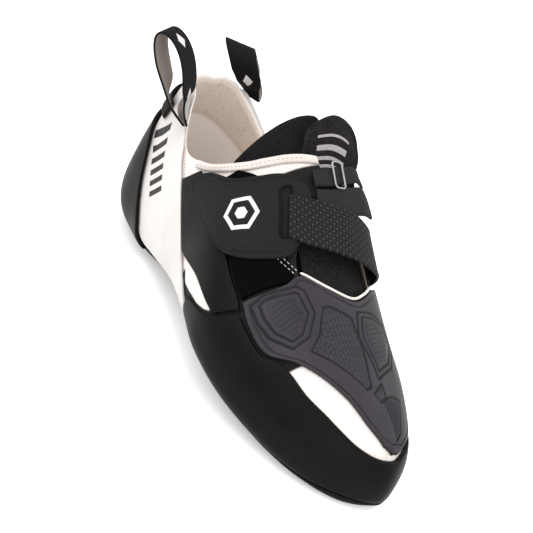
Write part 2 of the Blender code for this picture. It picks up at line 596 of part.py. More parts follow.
def tube(name, path, diameter, look, sides=8, closed=False):
    """A round cord or wire along a path."""
    path = np.asarray(path)
    if closed:
        ahead = np.roll(path, -1, 0) - np.roll(path, 1, 0)
    else:
        ahead = np.gradient(path, axis=0)
    ahead /= np.linalg.norm(ahead, axis=1, keepdims=True)
    up = np.array([0.0, 0.0, 1.0])
    side = np.cross(ahead, up)
    side /= np.linalg.norm(side, axis=1, keepdims=True)
    over = np.cross(side, ahead)
    angle = np.arange(sides) * 2 * math.pi / sides
    rings = path[:, None] + diameter / 2 * (side[:, None] * np.cos(angle)[None, :, None]
                                            + over[:, None] * np.sin(angle)[None, :, None])
    count = len(path)
    faces = []
    for i in range(count if closed else count - 1):
        k = (i + 1) % count
        for j in range(sides):
            m = (j + 1) % sides
            faces.append((i * sides + j, k * sides + j, k * sides + m, i * sides + m))
    if not closed:
        faces.append(tuple(range(sides)))
        faces.append(tuple((count - 1) * sides + j for j in range(sides)))
    return add_object(name, rings.reshape(-1, 3), faces, look)


def build_piping(looks):
    """The white piping that lies in the throat, along the rear edge of the toe cap."""
    x, turn = np.array(TOE_CAP_REAR[3:8]).T
    steps = np.linspace(0, len(x) - 1, 17)
    smooth = [spline(c, steps, 2 * c[0] - c[1], 2 * c[-1] - c[-2]) for c in (x, turn)]
    back = (GLUE_GAP + PIPING_DIAMETER) / LENGTH
    path = across(smooth[0] - back, smooth[1], RAND_OUTER + PIPING_DIAMETER / 2)
    tube("throat_piping", path, PIPING_DIAMETER, looks["piping"], 6)


def build_ring(looks):
    """The wire ring round the upper band and the instep band."""
    place, ahead, ridge = (np.array(share) for share in (0.4895, 0.510, 1.0))
    middle = across(place, ridge, PAD_OUTER - WIRE_DIAMETER / 2 - GLUE_GAP)
    along = across(ahead, ridge, PAD_OUTER) - across(2 * place - ahead, ridge, PAD_OUTER)
    along /= np.linalg.norm(along)
    side = np.array([0.0, 1.0, 0.0])
    path = []
    for quarter, (sx, sy) in enumerate(((1, 1), (-1, 1), (-1, -1), (1, -1))):
        for step in range(4):
            angle = (quarter + step / 3) * math.pi / 2
            far = sx * (RING_HALF_LENGTH - RING_CORNER) + RING_CORNER * math.cos(angle)
            wide = sy * (RING_HALF_WIDTH - RING_CORNER) + RING_CORNER * math.sin(angle)
            path.append(middle + along * far + side * wide)
    tube("wire_ring", path, WIRE_DIAMETER, looks["wire"], 8, closed=True)


def build_pull_loop(name, place, lean, facing, look):
    """A tape folded into a loop: flat on the heel where its ends are stitched, then turned the short way."""
    girth, turn = (np.array(value) for value in place)
    off = RAND_OUTER - LAYER_GAP - LOOP_THICKNESS * 1.25
    base = around(girth, turn, off)
    outward = base - around(girth, turn, off + 0.01)
    start = math.atan2(outward[1], outward[0])
    twist = (math.radians(facing) - start + math.pi / 2) % math.pi - math.pi / 2
    share = np.linspace(-1, 1, 33)
    fold = np.abs(share)
    up = np.cos(fold * math.pi / 2)
    apart = LOOP_THICKNESS * 0.75 * fold + LOOP_OPENING / 2 * np.sin(math.pi * fold)
    settle = np.clip(up / 0.45, 0, 1)**2 * (3 - 2 * np.clip(up / 0.45, 0, 1))
    heading = start + twist * settle
    normal = np.stack([np.cos(heading), np.sin(heading), np.zeros_like(heading)], 1)
    wide = np.stack([-np.sin(heading), np.cos(heading), np.zeros_like(heading)], 1)
    axis = base + np.array(lean) * LOOP_REACH * up[:, None]
    axis += normal * (LOOP_RISE * np.sin(math.pi * np.clip(up / 0.5, 0, 1)) * (1 - settle))[:, None]
    path = axis + normal * (np.sign(share) * apart)[:, None]
    ahead = np.gradient(path, axis=0)
    across_tape = np.cross(ahead, wide)
    across_tape /= np.linalg.norm(across_tape, axis=1, keepdims=True)
    width = LOOP_WIDTH * (0.5 + 0.5 * np.clip(up / 0.55, 0, 1))
    edge = np.linspace(-0.5, 0.5, 2)
    sheet = path[:, None] + wide[:, None] * (edge[None, :, None] * width[:, None, None])
    half = across_tape[:, None] * LOOP_THICKNESS / 2
    skin(name, sheet + half, sheet - half, look)


def build_looks():
    """One material for each kind of piece, in the photo's colours."""
    return {
        "outsole": material("outsole_rubber", (0.018, 0.016, 0.016), 0.62),
        "upper": material("upper_knit", (0.800, 0.770, 0.730), 0.85),
        "insole": material("insole_foam", (0.720, 0.670, 0.600), 0.90),
        "rand": material("rand_rubber", (0.012, 0.012, 0.013), 0.50),
        "heel_rand": material("heel_rand_leather", (0.820, 0.800, 0.780), 0.55),
        "heel_rubber": material("heel_rubber", (0.016, 0.014, 0.014), 0.55),
        "heel_tape": material("heel_tape", (0.015, 0.015, 0.017), 0.80),
        "sling": material("sling_rubber", (0.014, 0.014, 0.015), 0.50),
        "loop_patch": material("loop_pile", (0.010, 0.010, 0.011), 0.95),
        "wing_pad": material("wing_microfibre", (0.020, 0.020, 0.021), 0.60),
        "toe_cap": material("toe_cap_rubber", (0.040, 0.037, 0.043), 0.55),
        "webbing": material("webbing", (0.022, 0.021, 0.024), 0.80),
        "instep_band": material("grosgrain", (0.020, 0.020, 0.022), 0.75),
        "binding": material("binding_knit", (0.780, 0.740, 0.710), 0.85),
        "tongue": material("tongue_mesh", (0.014, 0.013, 0.015), 0.90),
        "sleeve": material("sleeve_neoprene", (0.012, 0.012, 0.013), 0.90),
        "piping": material("piping", (0.800, 0.780, 0.750), 0.60),
        "wire": material("steel_wire", (0.620, 0.620, 0.640), 0.25, 1.0),
        "pull_loop": material("pull_loop_tape", (0.014, 0.014, 0.016), 0.80),
    }


def centre_plan():
    """Move every piece so that the middle of the shoe's plan lies over the origin."""
    meshes = [item.data for item in bpy.data.objects if item.type == "MESH"]
    points = np.array([vertex.co for mesh in meshes for vertex in mesh.vertices])
    middle = (points.min(axis=0) + points.max(axis=0)) / 2
    for mesh in meshes:
        mesh.transform(Matrix.Translation((-middle[0], -middle[1], 0.0)))


def main():
    """Build every piece of the shoe."""
    clear_scene()
    looks = build_looks()
    build_base(looks)
    build_rands(looks)
    build_sides(looks)
    build_closure(looks)
    build_piping(looks)
    build_ring(looks)
    build_pull_loop("pull_loop_lateral", LATERAL_LOOP_PLACE, LATERAL_LOOP_LEAN, LATERAL_LOOP_HEADING,
                    looks["pull_loop"])
    build_pull_loop("pull_loop_medial", MEDIAL_LOOP_PLACE, MEDIAL_LOOP_LEAN, MEDIAL_LOOP_HEADING,
                    looks["pull_loop"])
    centre_plan()


main()
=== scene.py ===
"""The looks of a climbing shoe for the right foot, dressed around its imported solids.

The shoe's last is one closed body given by a table of cross sections. Every piece is cut from that last
between two depths: it has a place on the last (a girth or a share of the length, and a turn), a depth at
which its outer face lies, and a thickness. Lengths are in metres unless a name ends in _mm. X runs from heel
to toe, -Y is the outer side of the foot, and Z is up from the floor.
"""

import logging
import math
from dataclasses import dataclass, field
from enum import Enum
from typing import Callable

import bmesh
import bpy
import numpy as np
from mathutils import Matrix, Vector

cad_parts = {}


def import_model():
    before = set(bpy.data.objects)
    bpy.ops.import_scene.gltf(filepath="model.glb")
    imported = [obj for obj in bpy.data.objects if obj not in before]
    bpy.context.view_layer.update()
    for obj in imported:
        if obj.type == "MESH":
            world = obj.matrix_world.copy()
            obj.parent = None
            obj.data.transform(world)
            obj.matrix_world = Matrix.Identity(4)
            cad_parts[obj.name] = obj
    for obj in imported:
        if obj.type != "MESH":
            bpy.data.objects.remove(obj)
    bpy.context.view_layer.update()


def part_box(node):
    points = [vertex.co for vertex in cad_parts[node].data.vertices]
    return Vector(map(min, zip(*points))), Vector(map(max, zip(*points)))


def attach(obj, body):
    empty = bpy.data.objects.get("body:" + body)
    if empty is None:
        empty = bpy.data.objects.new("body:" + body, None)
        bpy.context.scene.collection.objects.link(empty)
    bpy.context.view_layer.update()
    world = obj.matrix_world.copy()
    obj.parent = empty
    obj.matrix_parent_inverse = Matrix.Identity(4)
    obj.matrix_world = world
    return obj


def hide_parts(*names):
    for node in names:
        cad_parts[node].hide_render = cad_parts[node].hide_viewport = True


LOG = logging.getLogger("shoe")
MM = 0.001
Rows = list[tuple]

# Patterns on a flattened piece are drawn with the last's length and one turn near the ridge.
LENGTH_MM = 250.0
TURN_MM = 58.0
FLAT_MM = np.array([LENGTH_MM, TURN_MM])
# From this turn on, both sides of the upper meet on the ridge.
CLOSED_TURN = 0.9999
# Share of the thickness that a rim is rounded off by.
RIM_SHARE = 0.45
CAST_HALVINGS = 27
EDGE_HALVINGS = 18
# Step out of the surface that its direction is measured over.
NORMAL_STEP = 0.002


class Map(Enum):
    """How a piece's first place value runs."""

    AROUND = "girth around the plan, 0 at the heel and 1 at the toe"
    ACROSS = "share of the length, with a turn that goes on over the ridge"


@dataclass(frozen=True)
class Layers:
    """Depths under the face of the rubber rand, worked out from the pieces' thicknesses."""

    upper_wall: float = 0.0020
    rand: float = 0.0015
    sole: float = 0.0043
    insole: float = 0.0025
    pad: float = 0.0015
    webbing: float = 0.0014
    tongue: float = 0.0032
    sleeve: float = 0.0016
    heel_rubber: float = 0.0014
    glue: float = 0.0003
    gap: float = 0.0005

    @property
    def rand_outer(self) -> float:
        """Outer face of the rand."""
        return 0.0002

    @property
    def rand_inner(self) -> float:
        """Inner face of the rand."""
        return self.rand_outer + self.rand

    @property
    def upper_outer(self) -> float:
        """Outer face of the upper."""
        return self.rand_inner + self.gap

    @property
    def upper_inner(self) -> float:
        """Inner face of the upper."""
        return self.upper_outer + self.upper_wall

    @property
    def sole_inner(self) -> float:
        """Inner face of the outsole."""
        return max(self.sole, self.upper_inner + self.glue)

    @property
    def insole_outer(self) -> float:
        """Lower face of the insole."""
        return self.sole_inner + 2 * self.gap

    @property
    def tongue_outer(self) -> float:
        """Outer face of the tongue."""
        return self.upper_inner + 3 * self.gap

    @property
    def sleeve_outer(self) -> float:
        """Outer face of the inner sleeve."""
        return self.tongue_outer + self.tongue + 2 * self.gap

    @property
    def pad_inner(self) -> float:
        """Inner face of what lies on the rand's layer."""
        return self.rand_outer - self.gap

    @property
    def pad_outer(self) -> float:
        """Outer face of the wing pad and the instep bands."""
        return self.pad_inner - self.pad

    @property
    def webbing_inner(self) -> float:
        """Inner face of the webbing strap."""
        return self.pad_outer - self.gap

    @property
    def heel_rubber_inner(self) -> float:
        """Inner face of the heel rubber."""
        return self.pad_inner - self.glue


LAYERS = Layers()

SECTIONS = np.array([
    # x      ridge  lateral medial bottom widest top    upper lower
    (0.000, 0.000, 0.000, 0.000, 0.00, 0.250, 0.000, 2.0, 2.6),
    (0.012, 0.000, -0.120, 0.120, 1.09, 0.246, 0.515, 2.0, 2.5),
    (0.044, 0.000, -0.218, 0.218, 0.25, 0.243, 0.800, 2.0, 2.1),
    (0.096, 0.000, -0.300, 0.295, -0.12, 0.238, 0.926, 2.1, 2.1),
    (0.176, 0.010, -0.342, 0.322, -0.11, 0.235, 0.990, 2.1, 2.2),
    (0.280, 0.040, -0.378, 0.335, 0.63, 0.265, 0.995, 2.0, 3.2),
    (0.392, 0.072, -0.424, 0.370, 0.95, 0.297, 0.890, 1.9, 3.2),
    (0.512, 0.078, -0.494, 0.422, 0.98, 0.300, 0.750, 1.9, 3.4),
    (0.620, 0.068, -0.545, 0.446, 0.89, 0.238, 0.605, 1.9, 3.6),
    (0.728, 0.062, -0.515, 0.435, 0.40, 0.178, 0.495, 1.9, 3.3),
    (0.832, 0.070, -0.415, 0.392, -0.07, 0.143, 0.411, 1.9, 3.1),
    (0.920, 0.079, -0.280, 0.318, -0.10, 0.118, 0.308, 1.9, 3.3),
    (0.976, 0.083, -0.095, 0.200, 0.08, 0.098, 0.207, 2.0, 3.6),
    (1.000, 0.083, 0.083, 0.083, 0.00, 0.072, 0.000, 2.0, 2.6),
])


def spline(values: np.ndarray, at: np.ndarray, before: float, after: float) -> np.ndarray:
    """Catmull-Rom through evenly spaced values.

    Args:
        values: The values that it passes through.
        at: Positions, counted in steps from the first value.
        before: Ghost value in front of the first.
        after: Ghost value behind the last.

    Returns:
        The value at each position.
    """
    padded = np.concatenate([[before], values, [after]])
    index = np.minimum(at.astype(int), len(values) - 2)
    share = at - index
    a, b, c, d = (padded[index + k] for k in range(4))
    return 0.5 * (2 * b + (c - a) * share + (2 * a - 5 * b + 4 * c - d) * share**2
                  + (3 * b - a - 3 * c + d) * share**3)


def open_spline(values: np.ndarray, at: np.ndarray) -> np.ndarray:
    """Catmull-Rom through evenly spaced values that runs on straight at both ends."""
    return spline(values, at, 2 * values[0] - values[1], 2 * values[-1] - values[-2])


def curve(table: Rows, at: np.ndarray) -> np.ndarray:
    """Cubic Hermite through (position, value) rows, without overshoot between them.

    Args:
        table: Rows in ascending position.
        at: Positions to read; those past the ends take the end value.

    Returns:
        The value at each position.
    """
    x, y = np.array(table, dtype=float).T
    slope = np.diff(y) / np.diff(x)
    tangent = np.concatenate([[slope[0]], (slope[1:] + slope[:-1]) / 2, [slope[-1]]])
    tangent[np.concatenate([[False], slope[1:] * slope[:-1] <= 0, [False]])] = 0.0
    limit = 3 * np.minimum(np.abs(np.append(slope, slope[-1])), np.abs(np.insert(slope, 0, slope[0])))
    tangent = np.clip(tangent, -limit, limit)
    at = np.clip(np.asarray(at, dtype=float), x[0], x[-1])
    index = np.clip(np.searchsorted(x, at, side="right") - 1, 0, len(x) - 2)
    step = x[index + 1] - x[index]
    t = (at - x[index]) / step
    return ((1 + 2 * t) * (1 - t)**2 * y[index] + t * (1 - t)**2 * step * tangent[index]
            + t**2 * (3 - 2 * t) * y[index + 1] + t**2 * (t - 1) * step * tangent[index + 1])


def smoothstep(value: np.ndarray) -> np.ndarray:
    """Ease from 0 to 1: 3t^2 - 2t^3 on the clipped value."""
    t = np.clip(value, 0.0, 1.0)
    return t * t * (3 - 2 * t)


def unit(vector: np.ndarray) -> np.ndarray:
    """Vectors scaled to length 1."""
    return vector / np.maximum(np.linalg.norm(vector, axis=-1, keepdims=True), 1e-12)


@dataclass
class Last:
    """The closed body that the shoe is built on."""

    length: float = 0.250
    ball_width: float = 0.102
    height: float = 0.130
    arch_lift: float = 0.0095
    heel_fan_x: float = 0.136
    toe_fan_x: float = 0.848
    heel_fan_share: float = 0.12
    toe_fan_share: float = 0.84
    section_count: int = 2601
    shift: np.ndarray = field(default_factory=lambda: np.zeros(3))

    def __post_init__(self) -> None:
        """Join the section table into many sections by splines, rounded off at heel and toe."""
        at = np.linspace(0, len(SECTIONS) - 1, self.section_count)
        x, ridge, lateral, medial, bottom, widest, top, upper, lower = SECTIONS.T
        down = widest * self.height - bottom * self.arch_lift
        rise = (top - widest) * self.height
        down[[0, -1]] = 0.0
        rise[[0, -1]] = 0.0
        self.x = self._even(x, at) * self.length
        self.columns = {
            "ridge": open_spline(ridge, at) * self.ball_width,
            "lateral": self._odd(ridge - lateral, at) * self.ball_width,
            "medial": self._odd(medial - ridge, at) * self.ball_width,
            "widest": self._even(widest, at) * self.height,
            "down": self._odd(down, at),
            "up": self._odd(rise, at),
            "upper": self._even(upper, at),
            "lower": self._even(lower, at),
        }

    @staticmethod
    def _even(column: np.ndarray, at: np.ndarray) -> np.ndarray:
        """Spline of a column that is level past both ends."""
        return spline(column, at, column[1], column[-2])

    @staticmethod
    def _odd(column: np.ndarray, at: np.ndarray) -> np.ndarray:
        """Spline of a column that drops through zero at both ends, which rounds heel and toe off."""
        return np.maximum(spline(column, at, -column[1], -column[-2]), 0.0)

    def column(self, name: str, x: np.ndarray) -> np.ndarray:
        """Read one column of the joined sections at x, in metres from the heel."""
        return np.interp(x, self.x, self.columns[name])

    def is_beyond(self, point: np.ndarray, depth: np.ndarray) -> np.ndarray:
        """Say which points lie outside the last at a depth.

        The section at x is |y/width|^p + |z/height|^p = 1 in each quarter, and the depth is taken off the
        widths, the heights and both ends.

        Args:
            point: Points in the last's own frame.
            depth: Depth under the rand's face.

        Returns:
            True where a point is outside.
        """
        x = (point[..., 0] - depth) * self.length / (self.length - 2 * depth)
        past_the_end = (x <= 0) | (x >= self.length)
        x = np.clip(x, 0, self.length)
        aside = point[..., 1] - self.column("ridge", x)
        above = point[..., 2] - self.column("widest", x)
        width = np.where(aside < 0, self.column("lateral", x), self.column("medial", x)) - depth
        height = np.where(above > 0, self.column("up", x), self.column("down", x)) - depth
        power = np.where(above > 0, self.column("upper", x), self.column("lower", x))
        width = np.maximum(width, 1e-5)
        height = np.maximum(height, 1e-5)
        return past_the_end | ((np.abs(aside) / width)**power + (np.abs(above) / height)**power > 1)

    def cast(self, x: np.ndarray, ray: np.ndarray, depth: np.ndarray) -> np.ndarray:
        """Follow rays from the middle of the sections at x until they reach the surface, by halving."""
        centre = np.stack([x, self.column("ridge", x), self.column("widest", x)], -1)
        near = np.zeros(ray.shape[:-1])
        far = np.full(ray.shape[:-1], self.length)
        for _ in range(CAST_HALVINGS):
            middle = (near + far) / 2
            outside = self.is_beyond(centre + ray * middle[..., None], depth)
            far = np.where(outside, middle, far)
            near = np.where(outside, near, middle)
        return centre + ray * near[..., None] + self.shift

    def place(self, kind: Map, along: np.ndarray, turn: np.ndarray, depth: np.ndarray) -> np.ndarray:
        """Point on the last for a place and a depth.

        Args:
            kind: What along means.
            along: Girth, negative on the lateral side, or share of the length.
            turn: Angle over the widest line in quarter turns; with a share of the length, 0 is the lateral
                widest line, 1 the ridge and 2 the medial widest line.
            depth: Depth under the rand's face; negative lies outside it.

        Returns:
            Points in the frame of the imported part.
        """
        along, turn, depth = np.broadcast_arrays(*(np.asarray(v, dtype=float) for v in (along, turn, depth)))
        angle = turn * math.pi / 2
        if kind is Map.ACROSS:
            ray = np.stack([0 * along, -np.cos(angle), np.sin(angle)], -1)
            return self.cast(along * self.length, ray, depth)
        girth = (along + 1) % 2 - 1
        share = np.abs(girth)
        side = np.where(girth < 0, -1.0, 1.0)
        straight = np.clip((share - self.heel_fan_share) / (self.toe_fan_share - self.heel_fan_share), 0, 1)
        x = (self.heel_fan_x + straight * (self.toe_fan_x - self.heel_fan_x)) * self.length
        rear = np.clip(share / self.heel_fan_share, 0, 1) * math.pi / 2
        front = np.clip((share - self.toe_fan_share) / (1 - self.toe_fan_share), 0, 1) * math.pi / 2
        at_heel = share < self.heel_fan_share
        forward = np.where(at_heel, -np.cos(rear), np.sin(front))
        sideways = side * np.where(at_heel, np.sin(rear), np.cos(front))
        ray = np.stack([forward * np.cos(angle), sideways * np.cos(angle), np.sin(angle)], -1)
        return self.cast(x, ray, depth)

    def lay(self, kind: Map, along: np.ndarray, turn: np.ndarray,
            depth: float) -> tuple[np.ndarray, np.ndarray]:
        """Points for places at a depth, and the directions out of the surface there."""
        path = self.place(kind, along, turn, depth)
        return path, unit(self.place(kind, along, turn, depth - NORMAL_STEP) - path)

    def sole_edge(self, girth: np.ndarray) -> np.ndarray:
        """Turn at which the last stands at the height of the outsole's edge, found by halving."""
        heights = [(0.00, 1.10), (0.10, 1.05), (0.20, 1.25), (0.30, 2.40), (0.40, 3.60), (0.50, 3.90),
                   (0.60, 3.40), (0.70, 2.10), (0.80, 1.25), (0.90, 1.10), (1.00, 1.15)]
        low = np.full(girth.shape, -0.98)
        high = np.full(girth.shape, 0.4)
        for _ in range(EDGE_HALVINGS):
            middle = (low + high) / 2
            point = self.place(Map.AROUND, girth, middle, 0.0) - self.shift
            under = point[..., 2] < curve(heights, point[..., 0] / self.length) * LAYERS.sole
            low = np.where(under, middle, low)
            high = np.where(under, high, middle)
        return (low + high) / 2

    def settle(self, low: np.ndarray, high: np.ndarray) -> None:
        """Shift the last so that its rand fills the rand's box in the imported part."""
        girth, turn = np.meshgrid(np.linspace(-1.485, -0.515, 400), np.linspace(-0.3, 0.3, 60), indexing="ij")
        face = self.place(Map.AROUND, girth, turn, LAYERS.rand_outer)
        self.shift = np.array([high[0] - face[..., 0].max(), high[1] - face[..., 1].max(), 0.0])


class Num:
    """A shader number; Python's operators add the Math nodes."""

    def __init__(self, nodes: "Nodes", socket: bpy.types.NodeSocket) -> None:
        """Wrap one output socket of a node tree."""
        self.nodes = nodes
        self.socket = socket

    def _with(self, operation: str, *others: "Num | float") -> "Num":
        """Add one Math node on this value and others."""
        return self.nodes.math(operation, self, *others)

    def __add__(self, other: "Num | float") -> "Num":
        """Sum."""
        return self._with("ADD", other)

    def __mul__(self, other: "Num | float") -> "Num":
        """Product."""
        return self._with("MULTIPLY", other)

    def __sub__(self, other: "Num | float") -> "Num":
        """Difference."""
        return self._with("SUBTRACT", other)

    def __rsub__(self, other: float) -> "Num":
        """Difference with a plain number in front."""
        return self.nodes.math("SUBTRACT", other, self)

    def __truediv__(self, other: "Num | float") -> "Num":
        """Quotient."""
        return self._with("DIVIDE", other)

    def sin(self) -> "Num":
        """Sine of the value in radians."""
        return self._with("SINE")

    def absolute(self) -> "Num":
        """Absolute value."""
        return self._with("ABSOLUTE")

    def fraction(self) -> "Num":
        """Part behind the decimal point."""
        return self._with("FRACT")

    def floor(self) -> "Num":
        """Whole part."""
        return self._with("FLOOR")

    def least(self, other: "Num | float") -> "Num":
        """The smaller of two."""
        return self._with("MINIMUM", other)

    def most(self, other: "Num | float") -> "Num":
        """The larger of two."""
        return self._with("MAXIMUM", other)

    def ramp(self, low: float, high: float) -> "Num":
        """Straight ramp from 0 at low to 1 at high, clipped."""
        return self.nodes.node("ShaderNodeMapRange", {"clamp": True}, "Result",
                               {"Value": self, "From Min": low, "From Max": high})


class Nodes:
    """A material's node tree, with one method for each way of adding a node."""

    def __init__(self, name: str) -> None:
        """Make an empty material with an output and a Principled shader."""
        self.material = bpy.data.materials.new(name)
        self.material.use_nodes = True
        self.tree = self.material.node_tree
        self.shader = self.tree.nodes["Principled BSDF"]

    def node(self, kind: str, settings: dict, output: str | int, inputs: dict) -> Num:
        """Add a node.

        Args:
            kind: The node's type.
            settings: Its own properties, set first.
            output: Name or number of the output that is returned.
            inputs: Values or links by socket name or number.

        Returns:
            The output, wrapped.
        """
        made = self.tree.nodes.new(kind)
        for key, value in settings.items():
            setattr(made, key, value)
        for key, value in inputs.items():
            self.feed(made.inputs[key], value)
        return Num(self, made.outputs[output])

    def feed(self, socket: bpy.types.NodeSocket, value: "Num | float | tuple") -> None:
        """Link a wrapped output to a socket, or set the socket's own value."""
        if isinstance(value, Num):
            self.tree.links.new(value.socket, socket)
        else:
            socket.default_value = value

    def math(self, operation: str, *values: "Num | float") -> Num:
        """Add a Math node."""
        return self.node("ShaderNodeMath", {"operation": operation}, 0, dict(enumerate(values)))

    def mix(self, share: "Num | float", first: "Num | tuple", second: "Num | tuple") -> Num:
        """Mix two colours, given as linear RGB."""
        colours = [value if isinstance(value, Num) else (*value, 1.0) for value in (first, second)]
        return self.node("ShaderNodeMix", {"data_type": "RGBA"}, 2, {0: share, 6: colours[0], 7: colours[1]})

    def attribute(self, name: str, output: str = "Fac") -> Num:
        """Read a mesh attribute."""
        return self.node("ShaderNodeAttribute", {"attribute_name": name}, output, {})

    def cloth(self) -> tuple[Num, Num, Num]:
        """Millimetres along and across the piece, as a vector and as two numbers."""
        vector = self.attribute("cloth", "Vector")
        parts = self.tree.nodes.new("ShaderNodeSeparateXYZ")
        self.tree.links.new(vector.socket, parts.inputs[0])
        return vector, Num(self, parts.outputs[0]), Num(self, parts.outputs[1])

    def solid(self) -> Num:
        """Object coordinates in metres."""
        return self.node("ShaderNodeTexCoord", {}, "Object", {})

    def noise(self, vector: Num, scale: float, detail: float = 3.0, roughness: float = 0.55) -> Num:
        """Add a noise texture's value, from 0 to 1."""
        return self.node("ShaderNodeTexNoise", {}, 0,
                         {"Vector": vector, "Scale": scale, "Detail": detail, "Roughness": roughness})

    def cells(self, vector: Num, scale: float) -> Num:
        """Distance to the nearest point of a Voronoi pattern."""
        return self.node("ShaderNodeTexVoronoi", {}, "Distance", {"Vector": vector, "Scale": scale})


@dataclass(frozen=True)
class Finish:
    """How one material looks; its kinds override relief and tint."""

    name: str
    colour: tuple
    shade: tuple
    roughness: float = 0.6
    rough_change: float = 0.1
    bump_mm: float = 0.1
    sheen: float = 0.0
    sheen_roughness: float = 0.4
    specular: float = 0.5
    metallic: float = 0.0
    glow: float = 0.0

    def relief(self, nodes: Nodes) -> Num:
        """Height of the surface from 0 to 1: fine grain by default."""
        return nodes.noise(nodes.solid(), 1400.0, 4.0)

    def tint(self, nodes: Nodes, relief: Num) -> Num:
        """Share of the shade colour from 0 to 1: broad soft patches by default."""
        return nodes.noise(nodes.solid(), 45.0, 4.0).ramp(0.35, 0.75)

    def paint(self, nodes: Nodes, tint: Num) -> Num:
        """The colour: from the plain colour to the shade."""
        return nodes.mix(tint, self.colour, self.shade)

    def build(self) -> bpy.types.Material:
        """Make the material.

        Returns:
            A Principled material with colour, roughness and bump that change over the surface.
        """
        nodes = Nodes(self.name)
        relief = self.relief(nodes)
        tint = self.tint(nodes, relief)
        nodes.feed(nodes.shader.inputs["Base Color"], self.paint(nodes, tint))
        nodes.feed(nodes.shader.inputs["Roughness"], tint * self.rough_change + self.roughness)
        nodes.feed(nodes.shader.inputs["Metallic"], self.metallic)
        nodes.feed(nodes.shader.inputs["Specular IOR Level"], self.specular)
        if self.glow:
            nodes.feed(nodes.shader.inputs["Emission Color"], (*self.colour, 1.0))
            nodes.feed(nodes.shader.inputs["Emission Strength"], self.glow)
        if self.sheen:
            nodes.feed(nodes.shader.inputs["Sheen Weight"], self.sheen)
            nodes.feed(nodes.shader.inputs["Sheen Roughness"], self.sheen_roughness)
        bump = nodes.node("ShaderNodeBump", {}, 0,
                          {"Strength": 1.0, "Distance": self.bump_mm * MM, "Height": relief})
        nodes.feed(nodes.shader.inputs["Normal"], bump)
        return nodes.material


@dataclass(frozen=True)
class Rubber(Finish):
    """Smooth climbing rubber: fine grain, faint dust and soft dull patches."""

    def relief(self, nodes: Nodes) -> Num:
        """Fine grain over slow waves of the moulding."""
        fine = nodes.noise(nodes.solid(), 2200.0, 3.0)
        return fine * 0.35 + nodes.noise(nodes.solid(), 160.0, 2.0) * 0.65


@dataclass(frozen=True)
class MouldedRubber(Finish):
    """The toe cap's rubber: grooves and joints darkened with painted shade, so raised lands read lighter, and
    bricks where the piece says so.
    """

    brick_long_mm: float = 4.4
    brick_high_mm: float = 2.1
    joint_mm: float = 0.34

    def _bricks(self, nodes: Nodes) -> Num:
        """1 on a brick's face and 0 in the joints: rows are set off by half a brick."""
        _, along, over = nodes.cloth()
        row = (over / self.brick_high_mm).floor()
        offset = (row * 0.5).fraction()
        across = (over / self.brick_high_mm).fraction() * self.brick_high_mm
        lengthwise = (along / self.brick_long_mm + offset).fraction() * self.brick_long_mm
        edge_a = across.least(self.brick_high_mm - across)
        edge_b = lengthwise.least(self.brick_long_mm - lengthwise)
        return edge_a.least(edge_b).ramp(self.joint_mm * 0.4, self.joint_mm * 1.5)

    def relief(self, nodes: Nodes) -> Num:
        """Bricks inside their panel, and grain everywhere."""
        grain = nodes.noise(nodes.solid(), 1800.0, 3.0) * 0.12
        inside = nodes.attribute("brick")
        return grain + (self._bricks(nodes) - 1) * inside * 0.8 + 0.8

    def tint(self, nodes: Nodes, relief: Num) -> Num:
        """Painted shade in the grooves, rib valleys and brick joints, random darker patches, and lighter over
        the bricks.
        """
        # Painted shade: the groove mask covers the grooves and rib valleys.
        groove = nodes.attribute("groove")
        inside = nodes.attribute("brick")
        wear = nodes.noise(nodes.solid(), 60.0, 5.0).ramp(0.4, 0.8) * 0.35
        # Painted shade in the brick joints.
        joints = (1 - self._bricks(nodes)) * inside * 0.8
        return (groove * 0.9 + joints + wear - inside * 0.25).most(0.0).least(1.0)


@dataclass(frozen=True)
class SmoothLeather(Finish):
    """White coated leather: shallow pores and a faint grey cast."""

    mark: tuple = (0.012, 0.011, 0.011)
    bar_pitch_mm: float = 6.4

    def relief(self, nodes: Nodes) -> Num:
        """Pebbles of a Voronoi pattern with fine grain on them."""
        return nodes.cells(nodes.solid(), 1100.0) * 0.7 + nodes.noise(nodes.solid(), 3000.0) * 0.3

    def paint(self, nodes: Nodes, tint: Num) -> Num:
        """White, with a row of plain dark bars where the piece says so."""
        along = nodes.attribute("mark_x")
        aside = nodes.attribute("mark_y")
        bar = ((along / self.bar_pitch_mm).fraction() - 0.5).absolute().ramp(0.27, 0.24)
        row = along.absolute().ramp(19.4, 19.0) * aside.absolute().ramp(5.4, 5.1) * nodes.attribute("marked")
        return nodes.mix(bar * row, super().paint(nodes, tint), self.mark)


